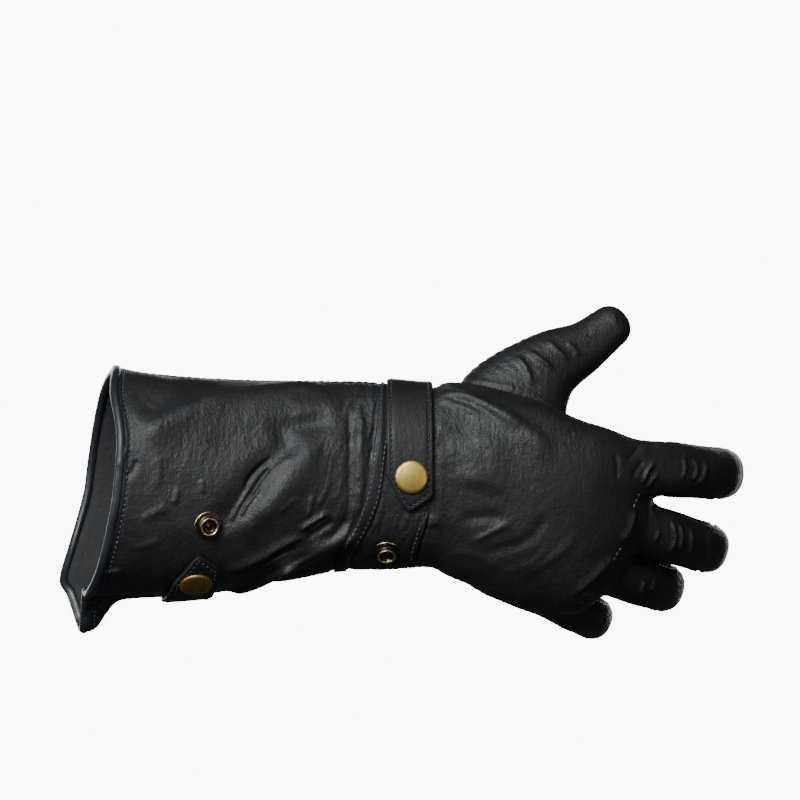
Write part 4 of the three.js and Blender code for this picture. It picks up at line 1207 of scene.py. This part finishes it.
def hand_labels(points):
    """Each point's panel, its distance from the nearest seam, and where the fingers and the thumb are."""
    palm, fingers, thumb = hand_parts(points)
    fingers = np.stack(fingers)
    closest = fingers.argmin(axis=0)
    finger = fingers.min(axis=0)
    _, level, _ = sleeve_places(points)
    label = np.where(level < 0, "hand_back", "hand_palm").astype("U32")
    distance = np.abs(level)
    on_finger = finger < palm
    for k, name in enumerate(FINGER_SPINES):
        here = on_finger & (closest == k)
        side, back, _, share, radius = finger_places(points[here], FINGER_SPINES[name])
        part = np.where(back > 0, "hand_back", "hand_palm").astype("U32")
        gap = np.abs(back) * radius * FINGER_FLATNESS
        half = FOURCHETTE_HALF * (1 - smooth_step(FOURCHETTE_TAPER, FOURCHETTE_END, share))
        for way, word, wanted in ((1, "upper", k > 0), (-1, "lower", k < 3)):
            if not wanted:
                continue
            outside = np.maximum(FOURCHETTE_IN - side * way, np.abs(back) - half) * radius
            part[(outside < 0) & (share < FOURCHETTE_END)] = f"{name}_side_strip_{word}"
            beside = (side * way > 0) & (share < FOURCHETTE_END)
            gap = np.where(beside, np.abs(outside), gap)
        label[here] = part
        distance[here] = gap
    in_thumb = thumb < np.minimum(palm, finger)
    label[in_thumb] = "thumb"
    root = np.abs(thumb - np.minimum(palm, finger)) * 0.7
    distance = np.where(in_thumb, root, np.minimum(distance, root))
    return label, distance, on_finger, closest, in_thumb


def hand_relief(points, normals):
    """Height of the hand's creases, seams and gathers at points, and each point's panel."""
    label, seam, on_finger, closest, in_thumb = hand_labels(points)
    back = facing(normals, -1)
    palm = facing(normals, 1)
    x = points[:, 0]
    plane = points[:, [0, 2]]
    height = back * crease_height(plane, HAND_CREASES) * ~in_thumb
    height += back * crease_height(plane, THUMB_CREASES) * in_thumb
    height += palm * crease_height(plane, PALM_CREASES) * ~on_finger * ~in_thumb
    fingers = on_finger | in_thumb
    height += broad_relief(points) * np.where(fingers, 0.55, 0.8)
    height += streaks(points, np.where(fingers, 0.04, 0.045), 2.4, 8, 61)
    height += finger_wrinkles(points, on_finger, closest)
    height += seam_profile(seam, x + points[:, 1])
    before = x - seam_x(HAND_SEAM, points[:, 2])
    over_back = (label == "hand_back") & (before < 30)
    gather = 0.55 * bell(np.maximum(before, 0), 9.0) * noise(points, (40, 30, 3.6), 71)
    height += np.where(over_back, gather - 1.2 * (1 - smooth_step(0.6, 2.2, before)), 0)
    strip = seam_x(WRIST_SEAM, points[:, 2])
    height -= 0.4 * bell(x - strip - 3.8, 1.1) * (label == "hand_palm")
    held = pressed(points, sleeve_angle(points)) * (x < WRIST_X + 6)
    return flattened(height, held), label


def finger_wrinkles(points, on_finger, closest):
    """Creases across the palm side and the sides of the fingers at their joints."""
    height = np.zeros(len(points))
    for k, finger in enumerate(FINGER_SPINES.values()):
        here = on_finger & (closest == k)
        side, back, _, share, radius = finger_places(points[here], finger)
        palmward = smooth_step(-0.5, 0.8, -back)
        wobble = 0.012 * noise(points[here], 5.0, 81 + k)
        total = 0
        for at, depth, width in FINGER_WRINKLES:
            away = (share + wobble - at - 0.02 * side * back) * finger["length"]
            total = total - depth * bell(away, width)
        height[here] = total * palmward
    return height


def make_hand():
    """The panels of the hand, cut from one skin along the seams."""
    points, faces = surface_net(hand_field, HAND_LOW, HAND_HIGH, HAND_STEP, 0.0)
    points, normals = settle(hand_field, points, 0.0)
    height, label = hand_relief(points, normals)
    points = points + height[:, None] * normals
    back_start = seam_x(HAND_SEAM, points[:, 2]) - 1.6
    palm_start = seam_x(WRIST_SEAM, points[:, 2]) - 0.5
    kept = points[:, 0] > np.where(label == "hand_back", back_start, palm_start)
    faces = faces[kept[faces].all(axis=1)]
    labels = sorted(set(label))
    code = np.searchsorted(labels, label)
    face_code = np.sort(code[faces], axis=1)[:, 1]
    shading = vertex_normals(points, faces)
    for k, name in enumerate(labels):
        own = faces[face_code == k]
        used, index = np.unique(own, return_inverse=True)
        quads = index.reshape(own.shape)
        piece = make_piece(f"{name}_leather", points[used], quads, [LEATHER], "leather", name)
        piece.data.normals_split_custom_set_from_vertices(shading[used].tolist())


def vertex_normals(points, faces):
    """Unit normals that pieces cut from one skin share, so that no edge shows between them."""
    corners = points[faces]
    across = np.cross(corners[:, 2] - corners[:, 0], corners[:, 3] - corners[:, 1])
    corner_index = faces.ravel()
    sums = [np.bincount(corner_index, np.repeat(across[:, k], 4), len(points)) for k in range(3)]
    return unit(np.stack(sums, axis=1))


def make_lining():
    """The inner face of the hand, which shows through the open end."""
    points, faces = surface_net(hand_field, HAND_LOW, HAND_HIGH, LINING_STEP, -WALL)
    points, _ = settle(hand_field, points, -WALL, 1)
    kept = points[:, 0] > seam_x(WRIST_SEAM, points[:, 2])
    faces = faces[kept[faces].all(axis=1)]
    used, index = np.unique(faces, return_inverse=True)
    make_piece("hand_lining", points[used], index.reshape(faces.shape)[:, ::-1], [FLESH_SIDE], "leather")


# Strap, tab and snaps


def strap_outline(reach, extra):
    """The strap's outline, seen flat: across and round from the snap, a rounded end and an uneven point."""
    half = STRAP_WIDTH / 2
    turn = np.linspace(0, np.pi, 25)
    end = np.stack([half * np.cos(turn), reach - half + half * np.sin(turn)], axis=1)
    outline = np.concatenate([end, np.array(POINT_SHAPE) * (half, POINT_LENGTH)])
    outline[:, 0] *= np.where(outline[:, 0] < 0, 1 + extra / half, 1)
    return outline


def outline_edges(outline, count):
    """Left and right edges of an outline at evenly spaced places round."""
    low = outline[:, 1].min() + 0.15
    high = outline[:, 1].max() - 0.15
    share = (1 - np.cos(np.linspace(0, np.pi, count))) / 2
    rounds = low + (high - low) * (0.55 * share + 0.45 * np.linspace(0, 1, count))
    closed = np.vstack([outline, outline[:1]])
    lefts, rights = [], []
    for level in rounds:
        crossings = []
        for a, b in zip(closed[:-1], closed[1:]):
            if (a[1] - level) * (b[1] - level) <= 0 and a[1] != b[1]:
                crossings.append(a[0] + (b[0] - a[0]) * (level - a[1]) / (b[1] - a[1]))
        lefts.append(min(crossings))
        rights.append(max(crossings))
    return rounds, np.array(lefts), np.array(rights)


def laid_point(x, angle, turn, across, around, height):
    """A place on leather laid on the sleeve: across and round from its snap, a height over the sleeve."""
    a = math.radians(turn)
    dx = across * math.cos(a) - around * math.sin(a)
    dr = across * math.sin(a) + around * math.cos(a)
    here = x + dx
    samples = np.linspace(here.min(), here.max(), 24)
    ways = np.stack([angle_after(sample, angle, dr.ravel()) for sample in samples])
    at = (here.ravel() - samples[0]) / (samples[1] - samples[0])
    k = np.clip(np.floor(at).astype(int), 0, len(samples) - 2)
    column = np.arange(k.size)
    places = ways[k, column] + (at - k) * (ways[k + 1, column] - ways[k, column])
    places = places.reshape(here.shape)
    return sleeve_point(here, places) + sleeve_normal(here, places) * np.asarray(height)[..., None]


def make_strap(name, x, angle, turn, reach, way, extra=0.0):
    """A strap with rounded edges and a groove for its stitches. way: 1 up from its snap, -1 down."""
    outline = strap_outline(reach, extra)
    rows, columns = 110, 27
    rounds, lefts, rights = outline_edges(outline, rows)
    share = (1 - np.cos(np.linspace(0, np.pi, columns))) / 2
    across = lefts[:, None] + (rights - lefts)[:, None] * share
    around = np.repeat(rounds[:, None], columns, axis=1)
    line = np.vstack([outline, outline[:1]])
    inside, _ = line_distance(np.stack([across.ravel(), around.ravel()], axis=1), line)
    inside = np.abs(inside).reshape(across.shape)
    rounding = np.sqrt(np.maximum(STRAP_EDGE**2 - np.maximum(STRAP_EDGE - inside, 0) ** 2, 0))
    top = STRAP_THICKNESS - STRAP_EDGE + rounding
    top += 0.12 * smooth_step(1.2, 3.5, inside) - 0.4 * bell(inside - STRAP_STITCHES, 0.4)
    lift = CLEARANCE + 0.1
    outer = laid_point(x, angle, turn, across, around * way, lift + top)
    inner = laid_point(x, angle, turn, across, around * way, np.full(across.shape, lift))
    points, faces, _ = closed_sheet(outer, inner)
    if way > 0:
        faces = faces[:, ::-1]
    make_piece(f"{name}_leather", points, faces, [STRAP_LEATHER], "strap_leather", name)
    return outline


def lathe(profile, sides=64):
    """Points and faces of a profile (radius, height) turned round the local Z axis."""
    turn = np.linspace(0, 2 * np.pi, sides, endpoint=False)
    radius = profile[:, 0][:, None]
    height = np.repeat(profile[:, 1][:, None], sides, axis=1)
    rings = np.stack([radius * np.cos(turn), radius * np.sin(turn), height], axis=-1)
    return rings.reshape(-1, 3), grid_faces(len(profile), sides, closed=True)[:, ::-1]


def seated(points, centre, normal):
    """Local points turned so that +Z follows a normal, and moved to a centre."""
    turn = Vector(normal).to_track_quat("Z", "Y").to_matrix()
    return points @ np.array(turn).T + centre


def node_middle(node):
    low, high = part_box(node)
    return np.array((low + high) / 2) / MM


def make_snap(name, shape, radius, height, x, angle, materials, slot):
    """A turned snap. Its second material, if any, is that of the worn, raised edges."""
    points, faces = lathe(np.array(shape) * (radius, height))
    normal = sleeve_normal(x, angle)
    centre = node_middle(name) - normal * height / 2
    piece = make_piece(f"{name}_brass", seated(points, centre, normal), faces, materials, slot, name)
    if len(materials) > 1:
        middles = np.array([points[list(face.vertices)].mean(axis=0) for face in piece.data.polygons])
        out = np.hypot(middles[:, 0], middles[:, 1]) / radius
        up = middles[:, 2] / height
        worn = ((up > 0.62) & (out > 0.5)) | ((up < 0.24) & (out > 0.93))
        piece.data.polygons.foreach_set("material_index", worn.astype(np.int32))


# Stitches


def capsule(sides=8, rings=4):
    """A stitch lying along local X."""
    bend = np.linspace(0, np.pi / 2, rings)
    radii = np.r_[np.sin(bend), np.cos(bend)[1:]]
    half = STITCH_LENGTH / 2 - STITCH_RADIUS
    along = np.r_[-half - np.cos(bend) * STITCH_RADIUS, half + np.sin(bend)[1:] * STITCH_RADIUS]
    along = np.insert(along, rings, 0.0)
    radii = np.insert(radii, rings, 1.0)
    turn = np.linspace(0, 2 * np.pi, sides, endpoint=False)
    radii = np.maximum(radii, 0.02)[:, None] * STITCH_RADIUS
    lift = np.abs(along / half) ** 2 * -0.09
    x = np.repeat(along[:, None], sides, axis=1)
    z = radii * np.sin(turn) * 1.1 + lift[:, None]
    points = np.stack([x, radii * np.cos(turn), z], axis=-1)
    return points.reshape(-1, 3), grid_faces(len(along), sides, closed=True)


def skin_of(*names):
    """A searchable surface made of the named pieces, in millimetres."""
    points, faces = [], []
    for name in names:
        mesh = bpy.data.objects[name].data
        base = len(points)
        points += [vertex.co / MM for vertex in mesh.vertices]
        faces += [[base + v for v in polygon.vertices] for polygon in mesh.polygons]
    return BVHTree.FromPolygons(points, faces)


def evenly(line, pitch):
    """Places on a line, a pitch apart."""
    way = way_along(line)
    at = np.arange(pitch / 2, way[-1], pitch)
    return np.stack([np.interp(at, way, line[:, k]) for k in range(3)], axis=1)


def add_stitches(name, lines, skin, thread, slot="leather"):
    """Rows of stitches along lines, each seated on the skin below it."""
    shape, quads = capsule()
    points, faces = [], []
    for line in lines:
        places = evenly(np.asarray(line), STITCH_PITCH)
        ahead = unit(np.gradient(places, axis=0))
        for place, direction in zip(places, ahead):
            found, normal, _, _ = skin.find_nearest(Vector(place))
            normal = np.array(normal)
            direction = unit(direction - direction @ normal * normal)
            side = np.cross(normal, direction)
            laid = shape @ np.stack([direction, side, normal])
            faces.append(quads + len(points) * len(shape))
            points.append(laid + np.array(found) + normal * STITCH_LIFT)
    make_piece(name, np.concatenate(points), np.concatenate(faces), [thread], slot)


def strap_stitch_line(outline, x, angle, turn, way):
    """A line inside the outline of a strap, where its stitches run."""
    closed = np.vstack([outline, outline[:1]])
    dense = np.concatenate([np.linspace(a, b, 8, endpoint=False) for a, b in zip(closed[:-1], closed[1:])])
    ahead = unit(np.roll(dense, -2, axis=0) - np.roll(dense, 2, axis=0))
    inward = np.stack([-ahead[:, 1], ahead[:, 0]], axis=1)
    line = dense + inward * STRAP_STITCHES
    away, _ = line_distance(line, closed)
    line = line[np.abs(away) > 0.93 * STRAP_STITCHES]
    line = np.vstack([line, line[:1]])
    height = np.full(len(line), CLEARANCE + STRAP_THICKNESS)
    return laid_point(x, angle, turn, line[:, 0], line[:, 1] * way, height)


def crotch_stitch_lines(skin):
    """Short rows of stitches on the back, where two fingers part."""
    lines = []
    for first, last in CROTCH_STITCHES:
        row = []
        for x, z in np.linspace(first, last, 9):
            found, _, _, _ = skin.ray_cast(Vector((x, -70, z)), Vector((0, 1, 0)))
            row.append(np.array(found))
        lines.append(np.array(row))
    return lines


def make_stitches(strap, tab):
    angles = np.linspace(-180, 180, 500)
    cuff = skin_of("cuff_back_leather", "cuff_palm_leather")
    add_stitches("hem_stitches", [sleeve_point(np.full(500, HEM_STITCHES), angles)], cuff, THREAD)
    moves = (-STRIP_STITCHES, STRIP_STITCHES)
    lines = [sleeve_point(seam_place(WRIST_SEAM, angles, move), angles, 0.8) for move in moves]
    add_stitches("wrist_seam_stitches", lines, skin_of("wrist_seam_strip"), THREAD)
    line = strap_stitch_line(strap, STRAP_X, STRAP_ANGLE, 0.0, 1)
    add_stitches("strap_stitches", [line], skin_of("wrist_strap_leather"), DARK_THREAD, "strap_leather")
    line = strap_stitch_line(tab, TAB_X, TAB_ANGLE, TAB_TURN, -1)
    add_stitches("tab_stitches", [line], skin_of("cuff_tab_leather"), DARK_THREAD, "strap_leather")
    back = skin_of("hand_back_leather")
    add_stitches("crotch_stitches", crotch_stitch_lines(back), back, THREAD)
    angles = np.linspace(-88, 88, 200)
    line = sleeve_point(seam_place(HAND_SEAM, angles, -1.2), angles)
    add_stitches("hand_seam_stitches", [line], skin_of("wrist_band_leather"), DARK_THREAD)


# Camera, light and stage


def make_camera():
    """The photograph's view: straight onto the back of the hand, from far away."""
    data = bpy.data.cameras.new("camera")
    data.sensor_width = 36.0
    data.lens = data.sensor_width * CAMERA_DISTANCE / (FRAME_WIDTH * MM)
    data.clip_start = 0.01
    data.clip_end = 50
    camera = new_object("camera", data)
    camera.location = (FRAME_X * MM, -CAMERA_DISTANCE, FRAME_Z * MM)
    camera.rotation_euler = (math.pi / 2, 0, 0)
    bpy.context.scene.camera = camera


def area_light(name, location, size, power, colour):
    """A soft light that shines on the middle of the glove and isn't seen itself."""
    data = bpy.data.lights.new(name, "AREA")
    data.shape = "RECTANGLE"
    data.size, data.size_y = size
    data.energy = power
    data.color = colour
    light = new_object(name, data)
    light.location = location
    aim = Vector(LIGHT_TARGET) - Vector(location)
    light.rotation_euler = aim.to_track_quat("-Z", "Y").to_euler()
    light.visible_camera = False


def make_stage():
    """A pale floor, round, that curves up into a pale wall on all sides."""
    floor_z = -0.45
    flat = 7.0
    curve = 2.0
    turn = np.linspace(0, np.pi / 2, 13)
    profile = [(0.0, floor_z), (0.5 * flat, floor_z)]
    profile += [(flat + curve * math.sin(a), floor_z + curve * (1 - math.cos(a))) for a in turn]
    profile.append((flat + curve, 8.0))
    way = np.linspace(0, 2 * np.pi, 73)
    points = [(r * math.cos(a) + LIGHT_TARGET[0], r * math.sin(a), z) for r, z in profile for a in way]
    mesh = bpy.data.meshes.new("floor")
    mesh.from_pydata(points, [], grid_faces(len(profile), len(way)).tolist())
    mesh.shade_smooth()
    material, _, shader = new_material("pale_paper")
    shader.inputs["Base Color"].default_value = (0.8, 0.8, 0.8, 1)
    shader.inputs["Roughness"].default_value = 0.9
    shader.inputs["Emission Color"].default_value = (1, 1, 1, 1)
    shader.inputs["Emission Strength"].default_value = 10.0
    mesh.materials.append(material)
    piece = new_object("floor", mesh)
    piece.visible_glossy = False
    piece.visible_diffuse = False


def make_light():
    """Soft light from the front, a little from the left and above, and from behind for the other side."""
    for row in LIGHTS:
        area_light(*row)
    world = bpy.data.worlds.new("world")
    world.use_nodes = True
    background = world.node_tree.nodes["Background"]
    background.inputs["Color"].default_value = (0.92, 0.96, 1.0, 1)
    background.inputs["Strength"].default_value = 0.07
    bpy.context.scene.world = world


make_camera()
make_stage()
make_light()
make_binding(list(make_cuff()))
make_band()
make_seam_strip()
make_hand()
make_lining()
strap_line = make_strap("wrist_strap", STRAP_X, STRAP_ANGLE, 0.0, STRAP_REACH, 1, STRAP_EXTRA)
tab_line = make_strap("cuff_tab", TAB_X, TAB_ANGLE, TAB_TURN, TAB_REACH, -1)
cap = (CAP_SHAPE, CAP_RADIUS, CAP_HEIGHT)
make_snap("strap_snap_cap", *cap, STRAP_X, STRAP_ANGLE, [BRASS], "cap_brass")
# The tab's cap takes a darker copy of the cap brass, painted shade.
make_snap("tab_snap_cap", *cap, TAB_X, TAB_ANGLE, [SHADED_CAP_BRASS], "cap_brass")
stud = (STUD_SHAPE, STUD_RADIUS, STUD_HEIGHT)
worn = [DARK_BRASS, BRIGHT_BRASS]
make_snap("wrist_stud", *stud, WRIST_STUD_X, WRIST_STUD_ANGLE, worn, "stud_brass")
make_snap("cuff_stud", *stud, CUFF_STUD_X, CUFF_STUD_ANGLE, worn, "stud_brass")
make_stitches(strap_line, tab_line)

bpy.context.view_layer.update()
